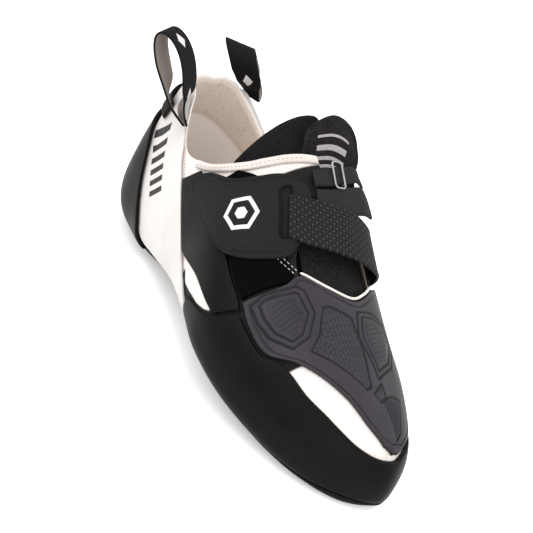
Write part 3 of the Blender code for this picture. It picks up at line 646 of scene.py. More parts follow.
@dataclass(frozen=True)
class Knit(Finish):
    """Knitted upper with rows of loops and small air holes."""

    loop_mm: float = 0.85
    hole_pitch_mm: float = 2.6
    hole_radius_mm: float = 0.33
    dye: tuple = (0.0075, 0.0068, 0.0072)

    def paint(self, nodes: Nodes, tint: Num) -> Num:
        """Undyed, or black where the piece says so."""
        return nodes.mix(nodes.attribute("dyed").ramp(0.46, 0.54), super().paint(nodes, tint), self.dye)

    def _holes(self, nodes: Nodes) -> Num:
        """1 inside an air hole: dots on a staggered grid."""
        _, along, over = nodes.cloth()
        pitch, high = self.hole_pitch_mm, self.hole_pitch_mm * 0.8
        row = (over / high).floor()
        a = (along / pitch + (row * 0.5).fraction()).fraction() * pitch - pitch / 2
        b = (over / high).fraction() * high - high / 2
        inner, outer = self.hole_radius_mm**2 * 0.4, self.hole_radius_mm**2 * 1.8
        return (1 - (a * a + b * b).ramp(inner, outer)) * nodes.attribute("airy")

    def relief(self, nodes: Nodes) -> Num:
        """Crossing waves of the loops, less the air holes."""
        _, along, over = nodes.cloth()
        turn = 2 * math.pi / self.loop_mm
        loops = ((along * turn).sin() * (over * (turn * 0.7)).sin()) * 0.25 + 0.55
        return loops - self._holes(nodes) * 0.5

    def tint(self, nodes: Nodes, relief: Num) -> Num:
        """Soft patches, and painted shade in the air holes."""
        patches = nodes.noise(nodes.solid(), 60.0, 5.0).ramp(0.4, 0.8) * 0.35
        # Painted shade in the air holes.
        return (patches + self._holes(nodes) * 0.8).least(1.0)


@dataclass(frozen=True)
class Nap(Finish):
    """Microfibre or pile: soft hair that catches light in patches."""

    hair: float = 2600.0
    clump: float = 420.0
    motif_mm: float = 0.0
    mark: tuple = (0.70, 0.67, 0.64)

    def relief(self, nodes: Nodes) -> Num:
        """Hair on clumps: two scales of noise."""
        hair = nodes.noise(nodes.solid(), self.hair, 5.0, 0.7)
        return hair * 0.6 + nodes.noise(nodes.solid(), self.clump, 3.0) * 0.4

    def paint(self, nodes: Nodes, tint: Num) -> Num:
        """The cloth's own colour, with a plain white hexagon round a dot where the piece says so."""
        if not self.motif_mm:
            return super().paint(nodes, tint)
        x = nodes.attribute("mark_x").absolute()
        y = nodes.attribute("mark_y").absolute()
        across = y.most(x * 0.866 + y * 0.5)
        frame = (across - self.motif_mm).absolute().ramp(1.15, 0.95)
        dot = across.ramp(self.motif_mm * 0.42, self.motif_mm * 0.38)
        return nodes.mix(frame.most(dot), super().paint(nodes, tint), self.mark)

    def tint(self, nodes: Nodes, relief: Num) -> Num:
        """Lighter where the hair stands up."""
        return relief.ramp(0.42, 0.72)


@dataclass(frozen=True)
class Weave(Finish):
    """Flat weave: warp threads over weft threads, with an option for long crossing ribs."""

    along_mm: float = 1.0
    over_mm: float = 1.0
    rib: float = 0.0
    lozenge_mm: float = 0.0
    lozenge_pitch: float = 8.4
    mark: tuple = (0.66, 0.63, 0.62)

    def relief(self, nodes: Nodes) -> Num:
        """Threads as |sin| along and across, which take turns on top; rib blends to straight ribs."""
        _, along, over = nodes.cloth()
        a = (along * (math.pi / self.along_mm)).sin()
        b = (over * (math.pi / self.over_mm)).sin()
        basket = (a * b).absolute() * 0.7 + (a * b) * 0.3
        return basket * (1 - self.rib) + a.absolute() * self.rib

    def tint(self, nodes: Nodes, relief: Num) -> Num:
        """Painted light and shade on the threads: lighter on their tops, darker between them."""
        return relief.ramp(0.15, 0.75)

    def paint(self, nodes: Nodes, tint: Num) -> Num:
        """The threads' colour, with a row of plain white lozenges on a tape that has them."""
        if not self.lozenge_mm:
            return super().paint(nodes, tint)
        _, along, over = nodes.cloth()
        pitch = self.lozenge_mm * self.lozenge_pitch
        a = ((along / pitch).fraction() * pitch - pitch / 2).absolute()
        inside = (a * 0.8 + over.absolute()).ramp(self.lozenge_mm + 0.15, self.lozenge_mm - 0.15)
        return nodes.mix(inside, super().paint(nodes, tint), self.mark)


@dataclass(frozen=True)
class SpacerMesh(Finish):
    """Padded mesh with small pits in rows."""

    pit_mm: float = 1.25
    label: bool = False
    stripe_pitch_mm: float = 3.0
    mark: tuple = (0.34, 0.32, 0.32)

    def paint(self, nodes: Nodes, tint: Num) -> Num:
        """The mesh's colour, with a printed label of plain stripes where the piece says so."""
        if not self.label:
            return super().paint(nodes, tint)
        x = nodes.attribute("mark_x")
        stripe = ((x / self.stripe_pitch_mm).fraction() - 0.5).absolute().ramp(0.24, 0.20)
        inside = x.absolute().ramp(7.6, 7.4) * nodes.attribute("mark_y").absolute().ramp(5.0, 4.8)
        return nodes.mix(stripe * inside, super().paint(nodes, tint), self.mark)

    def relief(self, nodes: Nodes) -> Num:
        """Pits of a Voronoi pattern at the mesh's pitch."""
        vector, _, _ = nodes.cloth()
        return nodes.cells(vector, 1.0 / self.pit_mm).ramp(0.1, 0.6)

    def tint(self, nodes: Nodes, relief: Num) -> Num:
        """Painted shade in the pits, so the threads between them read lighter, and a painted highlight on the
        padded rim.
        """
        # Painted highlight on the padded rim's swell.
        return relief * 0.8 + nodes.attribute("rim_highlight") * 0.5


@dataclass(frozen=True)
class SpeckledLining(Finish):
    """Heel lining: beige suede with brown flecks at the collar and smooth cream below it."""

    def _fleck(self, nodes: Nodes) -> Num:
        """1 in the flecks, which thin out away from the collar."""
        return nodes.noise(nodes.solid(), 700.0, 4.0, 0.75).ramp(0.56, 0.70) * nodes.attribute("suede")

    def relief(self, nodes: Nodes) -> Num:
        """Nap, deeper in the suede part."""
        return nodes.noise(nodes.solid(), 1500.0, 4.0) * (nodes.attribute("suede") * 0.8 + 0.2)

    def tint(self, nodes: Nodes, relief: Num) -> Num:
        """Beige in the suede part with brown flecks."""
        beige = nodes.attribute("suede") * 0.40 + nodes.attribute("seam") * 0.5
        return (beige + self._fleck(nodes) * 0.55).least(1.0)


OUTSOLE_RUBBER = Rubber("outsole_rubber", (0.0050, 0.0043, 0.0042), (0.009, 0.0080, 0.0076), 0.50, 0.12, 0.05,
                        specular=0.08)
RAND_RUBBER = Rubber("rand_rubber", (0.0026, 0.0021, 0.0022), (0.0050, 0.0043, 0.0043), 0.42, 0.14, 0.045,
                     specular=0.09)
TOE_CAP_RUBBER = MouldedRubber("toe_cap_rubber", (0.032, 0.028, 0.034), (0.007, 0.006, 0.0075), 0.48, 0.10,
                               0.16, specular=0.18)
HEEL_LEATHER = SmoothLeather("heel_rand_leather", (0.66, 0.625, 0.605), (0.60, 0.565, 0.545), 0.48, 0.10,
                             0.05, specular=0.3)
UPPER_KNIT = Knit("upper_knit", (0.82, 0.77, 0.74), (0.62, 0.55, 0.49), 0.82, 0.08, 0.16, sheen=0.08,
                  specular=0.2)
LINING = SpeckledLining("heel_lining", (0.90, 0.83, 0.78), (0.46, 0.31, 0.20), 0.85, 0.10, 0.18, sheen=0.1,
                        specular=0.2)
BINDING_KNIT = Knit("binding_knit", (0.66, 0.61, 0.575), (0.48, 0.42, 0.37), 0.80, 0.08, 0.14, sheen=0.1,
                    specular=0.2)
WING_MICROFIBRE = Nap("wing_microfibre", (0.0068, 0.0068, 0.0070), (0.015, 0.015, 0.0155), 0.68, 0.12, 0.10,
                      specular=0.15, motif_mm=7.6)
LOOP_PILE = Nap("loop_pile", (0.0014, 0.0014, 0.0014), (0.0040, 0.0040, 0.0040), 0.90, 0.05, 0.55,
                specular=0.03, hair=1500.0, clump=520.0)
WEBBING = Weave("webbing", (0.0060, 0.0055, 0.0062), (0.038, 0.033, 0.038), 0.72, 0.1, 0.45, specular=0.15,
                along_mm=1.9, over_mm=1.9)
GROSGRAIN = Weave("grosgrain", (0.0050, 0.0050, 0.0055), (0.022, 0.021, 0.023), 0.70, 0.1, 0.30,
                  specular=0.15, along_mm=1.25, over_mm=0.6, rib=0.8)
LOOP_TAPE = Weave("pull_loop_tape", (0.0040, 0.0036, 0.0041), (0.011, 0.010, 0.011), 0.72, 0.1, 0.12,
                  specular=0.10, along_mm=0.55, over_mm=0.55, lozenge_mm=3.4)
LOOP_TAPE_INSIDE = Weave("pull_loop_inside", (0.23, 0.20, 0.18), (0.36, 0.32, 0.29), 0.80, 0.1, 0.12,
                         along_mm=0.55, over_mm=0.55, specular=0.2)
HEEL_TAPE = Weave("heel_tape", (0.0050, 0.0050, 0.0055), (0.015, 0.015, 0.016), 0.75, 0.1, 0.2, along_mm=0.8,
                  over_mm=0.8, specular=0.15)
TONGUE_MESH = SpacerMesh("tongue_mesh", (0.0042, 0.0037, 0.0042), (0.017, 0.015, 0.017), 0.85, 0.05, 0.30,
                         specular=0.1, label=True)
SLEEVE_NEOPRENE = SpacerMesh("sleeve_neoprene", (0.0038, 0.0034, 0.0038), (0.012, 0.011, 0.012), 0.85, 0.05,
                             0.18, specular=0.1, pit_mm=0.8)
INSOLE_FOAM = Nap("insole_foam", (0.66, 0.59, 0.52), (0.54, 0.46, 0.39), 0.85, 0.08, 0.12, hair=1800.0)
PIPING = Finish("piping", (0.76, 0.72, 0.68), (0.64, 0.59, 0.54), 0.50, 0.1, 0.03, specular=0.3)
STEEL_WIRE = Finish("steel_wire", (0.30, 0.30, 0.31), (0.22, 0.22, 0.23), 0.28, 0.1, 0.01, metallic=1.0)
DARK_THREAD = Finish("dark_thread", (0.010, 0.010, 0.011), (0.022, 0.022, 0.023), 0.55, 0.1, 0.02,
                     specular=0.2)
WHITE_THREAD = Finish("white_thread", (0.62, 0.60, 0.58), (0.40, 0.37, 0.34), 0.60, 0.1, 0.02)
TAN_THREAD = Finish("tan_thread", (0.42, 0.30, 0.24), (0.24, 0.16, 0.12), 0.60, 0.1, 0.02)


def add_mesh(name: str, points: np.ndarray, faces: np.ndarray, looks: list, attributes: dict,
             look_of_face: np.ndarray | None = None, weld: bool = True) -> bpy.types.Object:
    """Make a smooth object of four-sided faces, weld what meets and turn its faces outwards.

    Args:
        name: The piece's name.
        points: Corner points, n by 3.
        faces: Corner numbers, m by 4.
        looks: Its materials.
        attributes: Values at the corners by name, n numbers or n by 3.
        look_of_face: The material's number for each face.
        weld: Whether points in the same place are merged.

    Returns:
        The object.
    """
    mesh = bpy.data.meshes.new(name)
    mesh.vertices.add(len(points))
    mesh.vertices.foreach_set("co", points.astype(np.float32).ravel())
    mesh.loops.add(faces.size)
    mesh.loops.foreach_set("vertex_index", faces.astype(np.int32).ravel())
    mesh.polygons.add(len(faces))
    mesh.polygons.foreach_set("loop_start", np.arange(0, faces.size, 4, dtype=np.int32))
    if look_of_face is not None:
        mesh.polygons.foreach_set("material_index", look_of_face.astype(np.int32))
    for key, value in attributes.items():
        wide = value.ndim == 2
        layer = mesh.attributes.new(key, "FLOAT_VECTOR" if wide else "FLOAT", "POINT")
        layer.data.foreach_set("vector" if wide else "value", value.astype(np.float32).ravel())
    mesh.update(calc_edges=True)
    mesh.validate()
    made = bmesh.new()
    made.from_mesh(mesh)
    if weld:
        bmesh.ops.remove_doubles(made, verts=made.verts, dist=1e-6)
        bmesh.ops.dissolve_degenerate(made, edges=made.edges, dist=1e-6)
    bmesh.ops.recalc_face_normals(made, faces=made.faces)
    made.to_mesh(mesh)
    made.free()
    for look in looks:
        mesh.materials.append(look)
    mesh.shade_smooth()
    item = bpy.data.objects.new(name, mesh)
    bpy.context.scene.collection.objects.link(item)
    return item


def slab_faces(rows: int, columns: int) -> np.ndarray:
    """Faces between two equal grids of points: the first grid, the second grid, then the four borders."""
    index = np.arange(rows * columns).reshape(rows, columns)
    face = np.stack([index[:-1, :-1], index[1:, :-1], index[1:, 1:], index[:-1, 1:]], -1).reshape(-1, 4)
    loop = np.concatenate([index[0, :-1], index[:-1, -1], index[-1, :0:-1], index[:0:-1, 0]])
    ahead = np.roll(loop, -1)
    border = np.stack([loop, ahead, ahead + index.size, loop + index.size], -1)
    return np.concatenate([face, face[:, ::-1] + index.size, border])


def rim_drop(edge: np.ndarray, rim: float, thickness: float) -> np.ndarray:
    """How far a rounded rim lies under its face: a quarter ellipse over the rim's width."""
    share = 1 - np.clip(edge / rim, 0, 1)
    return thickness * RIM_SHARE * (1 - np.sqrt(1 - share**2))


def steps_with_rims(count: int, rim_share: float) -> np.ndarray:
    """Positions from -1 to 1 that crowd near both ends: a rim of quarter-circle steps, then even ones."""
    rim = 2 * rim_share * (1 - np.cos(np.linspace(0, math.pi / 2, 7)))
    inner = np.linspace(rim[-1], 2 - rim[-1], max(count - 14, 4))[1:-1]
    return np.concatenate([rim, inner, 2 - rim[::-1]]) - 1


def arc_lengths(points: np.ndarray, axis: int) -> np.ndarray:
    """Length walked over a grid of points along one of its axes."""
    step = np.linalg.norm(np.diff(points, axis=axis), axis=-1)
    start = np.zeros_like(np.take(step, [0], axis=axis))
    return np.concatenate([start, np.cumsum(step, axis=axis)], axis=axis)


def table_grid(rows: Rows, u: np.ndarray, v: np.ndarray) -> list[np.ndarray]:
    """Fill a table of control rows with a finer grid by splines both ways.

    Args:
        rows: Control rows, each a list of places.
        u: Positions from -1 to 1 over the rows, a grid.
        v: Positions from -1 to 1 inside a row, a grid.

    Returns:
        One grid for each value of a place.
    """
    table = np.array(rows, dtype=float)
    lines, width = table.shape[:2]
    at_u = (u + 1) / 2 * (lines - 1)
    at_v = (v + 1) / 2 * (width - 1)

    def weights(at: np.ndarray, count: int) -> tuple[np.ndarray, np.ndarray]:
        """Catmull-Rom weights of the four values round each position."""
        index = np.clip(at.astype(int), 0, count - 2)
        t = at - index
        return index, 0.5 * np.stack([2 * t**2 - t - t**3, 2 - 5 * t**2 + 3 * t**3, t + 4 * t**2 - 3 * t**3,
                                      t**3 - t**2], -1)

    iu, wu = weights(at_u, lines)
    iv, wv = weights(at_v, width)
    out = []
    for k in range(table.shape[2]):
        sheet = table[..., k]
        sheet = np.vstack([2 * sheet[:1] - sheet[1:2], sheet, 2 * sheet[-1:] - sheet[-2:-1]])
        sheet = np.hstack([2 * sheet[:, :1] - sheet[:, 1:2], sheet, 2 * sheet[:, -1:] - sheet[:, -2:-1]])
        total = np.zeros(u.shape)
        for a in range(4):
            for b in range(4):
                total += wu[..., a] * wv[..., b] * sheet[iu + a, iv + b]
        out.append(total)
    return out


@dataclass
class Cut:
    """What a relief function may read at each point of a piece's face."""

    along: np.ndarray
    turn: np.ndarray
    edge: np.ndarray
    cloth: np.ndarray
    attributes: dict = field(default_factory=dict)


Relief = Callable[[Cut], np.ndarray]


@dataclass
class Piece:
    """A piece cut from the last between two depths, with rounded rims and a relief on its face."""

    name: str
    kind: Map
    outer: float
    thickness: float
    finish: Finish
    slot: str
    nodes: tuple = ()
    rim: float = 0.0006
    corner: float = 0.0
    size: tuple = (60, 30)
    rows: Rows = field(default_factory=list)
    lift: float = 0.0
    inner_rim: bool = False
    relief: Relief | None = None

    def grid(self, last: Last) -> tuple[np.ndarray, np.ndarray, np.ndarray]:
        """Places of the grid's points: along, turn and lift. Kinds of pieces override it."""
        u, v = self.squared(last)
        along, turn, *lifts = table_grid(self.rows, u, v)
        return along, turn, (lifts[0] * self.lift if lifts else np.zeros_like(along))

    def squared(self, last: Last) -> tuple[np.ndarray, np.ndarray]:
        """The grid from -1 to 1 both ways, crowded at the rims and drawn in at round corners.

        At height t the half width is 1 - r + sqrt(r^2 - (|t| - (1 - r))^2) above 1 - r, a quarter circle.
        """
        coarse = np.meshgrid(np.linspace(-1, 1, 9), np.linspace(-1, 1, 9), indexing="ij")
        along, turn = table_grid(self.rows, *coarse)[:2]
        points = last.place(self.kind, along, turn, self.outer)
        long_way = arc_lengths(points, 0)[-1].mean()
        wide_way = arc_lengths(points, 1)[:, -1].mean()
        u, v = np.meshgrid(steps_with_rims(self.size[0], self.rim / long_way),
                           steps_with_rims(self.size[1], self.rim / wide_way), indexing="ij")
        if not self.corner:
            return u, v
        ru = min(2 * self.corner / long_way, 1.0)
        rv = min(2 * self.corner / wide_way, 1.0)
        past = np.clip((np.abs(v) - (1 - rv)) / rv, 0, 1)
        return u * (1 - ru + ru * np.sqrt(1 - past**2)), v

    def faces_of(self, last: Last) -> tuple[np.ndarray, np.ndarray, Cut]:
        """Outer and inner face of the piece as grids of points, and what its relief read."""
        along, turn, lift = self.grid(last)
        base = last.place(self.kind, along, turn, self.outer - lift)
        u_len = arc_lengths(base, 0)
        v_len = arc_lengths(base, 1)
        middle = v_len[:, [v_len.shape[1] // 2]]
        edge = np.minimum(np.minimum(u_len, u_len[-1:] - u_len), np.minimum(v_len, v_len[:, -1:] - v_len))
        cloth = np.stack([u_len / MM, (v_len - middle) / MM, np.zeros_like(u_len)], -1)
        cut = Cut(along, turn, edge, cloth)
        drop = rim_drop(edge, self.rim, self.thickness)
        height = self.relief(cut) if self.relief else 0.0
        outside = last.place(self.kind, along, turn, self.outer - lift + drop - height)
        under = self.outer + self.thickness - lift - (drop if self.inner_rim else 0.0)
        inside = last.place(self.kind, along, turn, under)
        return outside, inside, cut

    def build(self, last: Last) -> bpy.types.Object:
        """Make the piece, ride it on the shoe and let it stand for its solids.

        Args:
            last: The body that it is cut from.

        Returns:
            The finished object.
        """
        outside, inside, cut = self.faces_of(last)
        points = np.concatenate([outside.reshape(-1, 3), inside.reshape(-1, 3)])
        faces = slab_faces(*outside.shape[:2])
        attributes = {"cloth": np.tile(cut.cloth.reshape(-1, 3), (2, 1))}
        for key, value in cut.attributes.items():
            attributes[key] = np.tile(value.ravel(), 2)
        item = add_mesh(self.name, points, faces, [self.finish.build()], attributes)
        return finish_piece(item, self.nodes)


def finish_piece(item: bpy.types.Object, nodes: tuple) -> bpy.types.Object:
    """Ride a piece on the shoe and hide the solids that it stands for."""
    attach(item, "root")
    if nodes:
        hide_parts(*nodes)
    LOG.info("%s: %d faces", item.name, len(item.data.polygons))
    return item


@dataclass
class Band(Piece):
    """A piece that runs round the plan between a low and a high edge."""

    first: float = 0.0
    last_girth: float = 0.0
    low: Callable[[Last, np.ndarray], np.ndarray] | None = None
    high: Rows = field(default_factory=list)

    def grid(self, last: Last) -> tuple[np.ndarray, np.ndarray, np.ndarray]:
        """Even steps of girth, and turns from the low to the high edge."""
        span = self.last_girth - self.first
        share = self.rim / (abs(span) * 0.25)
        u = (steps_with_rims(self.size[0], share) + 1) / 2
        girth = self.first + span * u
        low = self.low(last, girth)
        high = curve(self.high, girth)
        v = (steps_with_rims(self.size[1], self.rim / 0.045) + 1) / 2
        turn = low[:, None] + (high - low)[:, None] * v[None, :]
        return np.broadcast_to(girth[:, None], turn.shape), turn, np.zeros(turn.shape)


@dataclass
class Ring:
    """A hollow form round the whole plan, open above its high edge."""

    name: str
    outer: float
    inner: float
    finish: Finish
    slot: str
    nodes: tuple
    columns: int = 320
    rows: int = 44
    rim: float = 0.0008
    opens_below: bool = False
    lowest: float | None = None
    lining: Finish | None = None

    def edges(self, last: Last, girth: np.ndarray) -> tuple[np.ndarray, np.ndarray]:
        """Turn of the low and of the high edge. Kinds of rings override it."""
        return np.full(girth.shape, -1.0), last.sole_edge(girth)

    def outer_depth(self, last: Last, girth: np.ndarray, turn: np.ndarray) -> np.ndarray:
        """Depth of the outer face. Kinds of rings override it."""
        return np.full(turn.shape, self.outer)

    def attributes(self, last: Last, girth: np.ndarray, turn: np.ndarray, inside: np.ndarray) -> dict:
        """Further values at the points. Kinds of rings override it."""
        return {}

    def build(self, last: Last) -> bpy.types.Object:
        """Make the ring: two sheets over girth and turn, closed along their free edges.

        Args:
            last: The body that it is cut from.

        Returns:
            The finished object.
        """
        step = np.arange(self.columns) / self.columns
        girth = -1 + 2 * step
        low, high = self.edges(last, girth)
        v = (steps_with_rims(self.rows, 0.012) + 1) / 2
        turn = low[:, None] + (high - low)[:, None] * v[None, :]
        place = np.broadcast_to(girth[:, None], turn.shape)
        base = last.place(Map.AROUND, place, turn, self.outer)
        over = arc_lengths(base, 1)
        edge = over[:, -1:] - over
        open_top = np.broadcast_to((high < CLOSED_TURN)[:, None], edge.shape)
        if self.opens_below:
            edge = np.minimum(np.where(open_top, edge, 1.0), over)
        rounded = rim_drop(edge, self.rim, self.inner - self.outer)
        drop = np.where(open_top | self.opens_below, rounded, 0.0)
        outside = last.place(Map.AROUND, place, turn, self.outer_depth(last, place, turn) + drop)
        inside = last.place(Map.AROUND, place, turn, self.inner - (drop if self.lining else 0.0))
        if self.lowest is not None:
            outside[..., 2] = np.maximum(outside[..., 2], self.lowest)
        count, rows = turn.shape
        index = np.arange(count * rows).reshape(count, rows)
        ahead = np.roll(index, -1, 0)
        back = index.size
        sheet = np.stack([index[:, :-1], ahead[:, :-1], ahead[:, 1:], index[:, 1:]], -1).reshape(-1, 4)
        parts = [sheet, sheet[:, ::-1] + back]
        if self.opens_below:
            parts.append(np.stack([index[:, 0], ahead[:, 0], ahead[:, 0] + back, index[:, 0] + back], -1))
        free = np.minimum(high, np.roll(high, -1)) < CLOSED_TURN
        top = np.stack([index[:, -1], ahead[:, -1], ahead[:, -1] + back, index[:, -1] + back], -1)
        parts.append(top[free])
        faces = np.concatenate(parts)
        look = np.zeros(len(faces), dtype=int)
        looks = [self.finish.build()]
        if self.lining:
            looks.append(self.lining.build())
            look[len(sheet):2 * len(sheet)] = 1
        girth_mm = place * last.length / MM * 0.98
        cloth = np.stack([girth_mm, over / MM, np.zeros_like(over)], -1).reshape(-1, 3)
        attributes = {"cloth": np.tile(cloth, (2, 1))}
        for key, value in self.attributes(last, place, turn, inside).items():
            attributes[key] = np.tile(value.ravel(), 2)
        points = np.concatenate([outside.reshape(-1, 3), inside.reshape(-1, 3)])
        item = add_mesh(self.name, points, faces, looks, attributes, look)
        return finish_piece(item, self.nodes)


@dataclass
class Outsole(Ring):
    """The rubber sole: it flares out under the heel rubber and has two flat spots on the floor."""

    flare: float = -LAYERS.heel_rubber

    def outer_depth(self, last: Last, girth: np.ndarray, turn: np.ndarray) -> np.ndarray:
        """Flare the heel out by the heel rubber's thickness."""
        return self.flare * np.clip((0.34 - np.abs(girth)) / 0.10, 0, 1)


@dataclass
class Upper(Ring):
    """The knitted upper: one hollow shell, open at the collar, at the throat and underneath."""

    seam_turn: float = 0.010
    lateral_edge: Rows = field(default_factory=lambda: [
        (0.000, 0.750), (0.085, 0.770), (0.118, 0.755), (0.140, 0.705), (0.165, 0.640), (0.190, 0.575),
        (0.215, 0.525), (0.250, 0.500), (0.296, 0.500), (0.342, 0.535), (0.372, 0.600), (0.404, 0.740),
        (0.426, 0.880), (0.446, 0.935), (0.480, 0.915), (0.530, 0.800), (0.590, 0.650), (0.630, 0.620),
        (0.655, 0.680), (0.680, 0.850), (0.690, 1.000)])
    medial_edge: Rows = field(default_factory=lambda: [
        (0.000, 0.750), (0.022, 0.766), (0.042, 0.766), (0.062, 0.750), (0.082, 0.726), (0.102, 0.695),
        (0.126, 0.655), (0.156, 0.610), (0.190, 0.565), (0.235, 0.535), (0.300, 0.540), (0.360, 0.580),
        (0.430, 0.620), (0.500, 0.620), (0.560, 0.590), (0.610, 0.600), (0.650, 0.700), (0.680, 0.860),
        (0.690, 1.000)])
    # Where the knit shows undyed low at the side: girth share and turn of the leaf's corners.
    leaf: Rows = field(default_factory=lambda: [
        (0.404, -0.010), (0.446, -0.050), (0.472, -0.100), (0.504, -0.080), (0.548, -0.030), (0.588, 0.040),
        (0.606, 0.080), (0.592, 0.090), (0.552, 0.060), (0.480, 0.020)])
    # Creases of the soft collar: girth, turn, half length and half width in mm, depth in mm, slant.
    creases: Rows = field(default_factory=lambda: [
        (-0.265, 0.42, 9.0, 1.6, 0.45, 0.5), (-0.300, 0.44, 7.0, 1.3, 0.35, 0.2),
        (-0.335, 0.50, 8.0, 1.5, 0.35, -0.3), (0.270, 0.44, 9.0, 1.6, 0.45, 0.5),
        (0.340, 0.50, 8.0, 1.5, 0.40, -0.2), (-0.560, -0.10, 7.0, 1.4, 0.30, 0.8)])
    side_turn_mm: float = 62.0
    # The throat ends at this girth share; before it, no edge comes nearer to the ridge than the turn.
    throat_end: float = 0.6899
    highest_edge: float = 0.985
    # Girth shares between which the knit has air holes, and the width of the change.
    airy: tuple = (0.17, 0.66)
    airy_change: float = 0.03
    # The lining's seam: height at the sides, rise at the heel, girth share where that ends, fall after it.
    lining_arc: tuple = (0.054, 0.012, 0.16, 0.09)
    seam_width: float = 0.0012
    # Girth shares between which the knit is dyed, apart from the leaf, and how fast the dye changes.
    dyed: tuple = (0.445, 0.790)
    dye_change: float = 20.0

    def edges(self, last: Last, girth: np.ndarray) -> tuple[np.ndarray, np.ndarray]:
        """From the outsole's edge up to the collar and the throat; in front of it both sides meet."""
        share = np.abs(girth)
        edge = np.where(girth < 0, curve(self.lateral_edge, share), curve(self.medial_edge, share))
        high = np.where(share >= self.throat_end, 1.0, np.minimum(edge, self.highest_edge))
        return last.sole_edge(girth) + self.seam_turn, high

    def outer_depth(self, last: Last, girth: np.ndarray, turn: np.ndarray) -> np.ndarray:
        """Press the creases in: each is a long soft valley, depth * exp(-a^2 - b^2) in its own axes."""
        depth = np.full(turn.shape, self.outer)
        for place, height, long_mm, wide_mm, deep_mm, slant in self.creases:
            a = (girth - place) * last.length / MM
            b = (turn - height) * self.side_turn_mm
            along = a * math.cos(slant) + b * math.sin(slant)
            aside = b * math.cos(slant) - a * math.sin(slant)
            depth += deep_mm * MM * np.exp(-(along / long_mm)**2 - (aside / wide_mm)**2)
        return depth

    def attributes(self, last: Last, girth: np.ndarray, turn: np.ndarray, inside: np.ndarray) -> dict:
        """Say where the knit has air holes or is dyed, and where the lining is suede, above its seam."""
        share = np.abs(girth)
        airy = (smoothstep((share - self.airy[0]) / self.airy_change)
                * smoothstep((self.airy[1] - share) / self.airy_change))
        height, rise, heel, fall = self.lining_arc
        arc = height + rise * smoothstep(1 - share / heel) - fall * np.clip(share - heel, 0, 1)
        over = (inside[..., 2] - arc) / self.seam_width
        leaf = distance_to_outline(share, turn, self.leaf)
        undyed = np.maximum.reduce([self.dyed[0] - share, share - self.dyed[1], -leaf])
        return {"airy": airy, "suede": smoothstep(over), "seam": np.exp(-over**2),
                "dyed": np.clip(0.5 - undyed * self.dye_change, 0, 1)}


def segment_distance(x: np.ndarray, y: np.ndarray, start: np.ndarray, end: np.ndarray) -> np.ndarray:
    """Distance of points to the straight line between two points."""
    (ax, ay), (bx, by) = start, end
    t = np.clip(((x - ax) * (bx - ax) + (y - ay) * (by - ay)) / ((bx - ax)**2 + (by - ay)**2), 0, 1)
    return np.hypot(x - ax - t * (bx - ax), y - ay - t * (by - ay))


def distance_to_outline(x: np.ndarray, y: np.ndarray, outline: Rows) -> np.ndarray:
    """Signed distance to a closed outline of straight sides: the nearest side's, negative inside.

    Args:
        x: First coordinate of the points.
        y: Second coordinate of the points.
        outline: Corners in order.

    Returns:
        The distance in the coordinates' own unit.
    """
    corners = np.array(outline, dtype=float)
    best = np.full(x.shape, np.inf)
    inside = np.zeros(x.shape, dtype=bool)
    for (ax, ay), (bx, by) in zip(corners, np.roll(corners, -1, 0)):
        best = np.minimum(best, segment_distance(x, y, (ax, ay), (bx, by)))
        crosses = (ay > y) != (by > y)
        inside ^= crosses & (x < (bx - ax) * (y - ay) / np.where(by == ay, 1e-9, by - ay) + ax)
    return np.where(inside, -best, best)


def groove(distance_mm: np.ndarray, at_mm: float, half_width_mm: float) -> np.ndarray:
    """A groove's share of its full depth: exp(-((d - at) / w)^4), flat at the bottom with steep sides."""
    return np.exp(-((distance_mm - at_mm) / half_width_mm)**4)


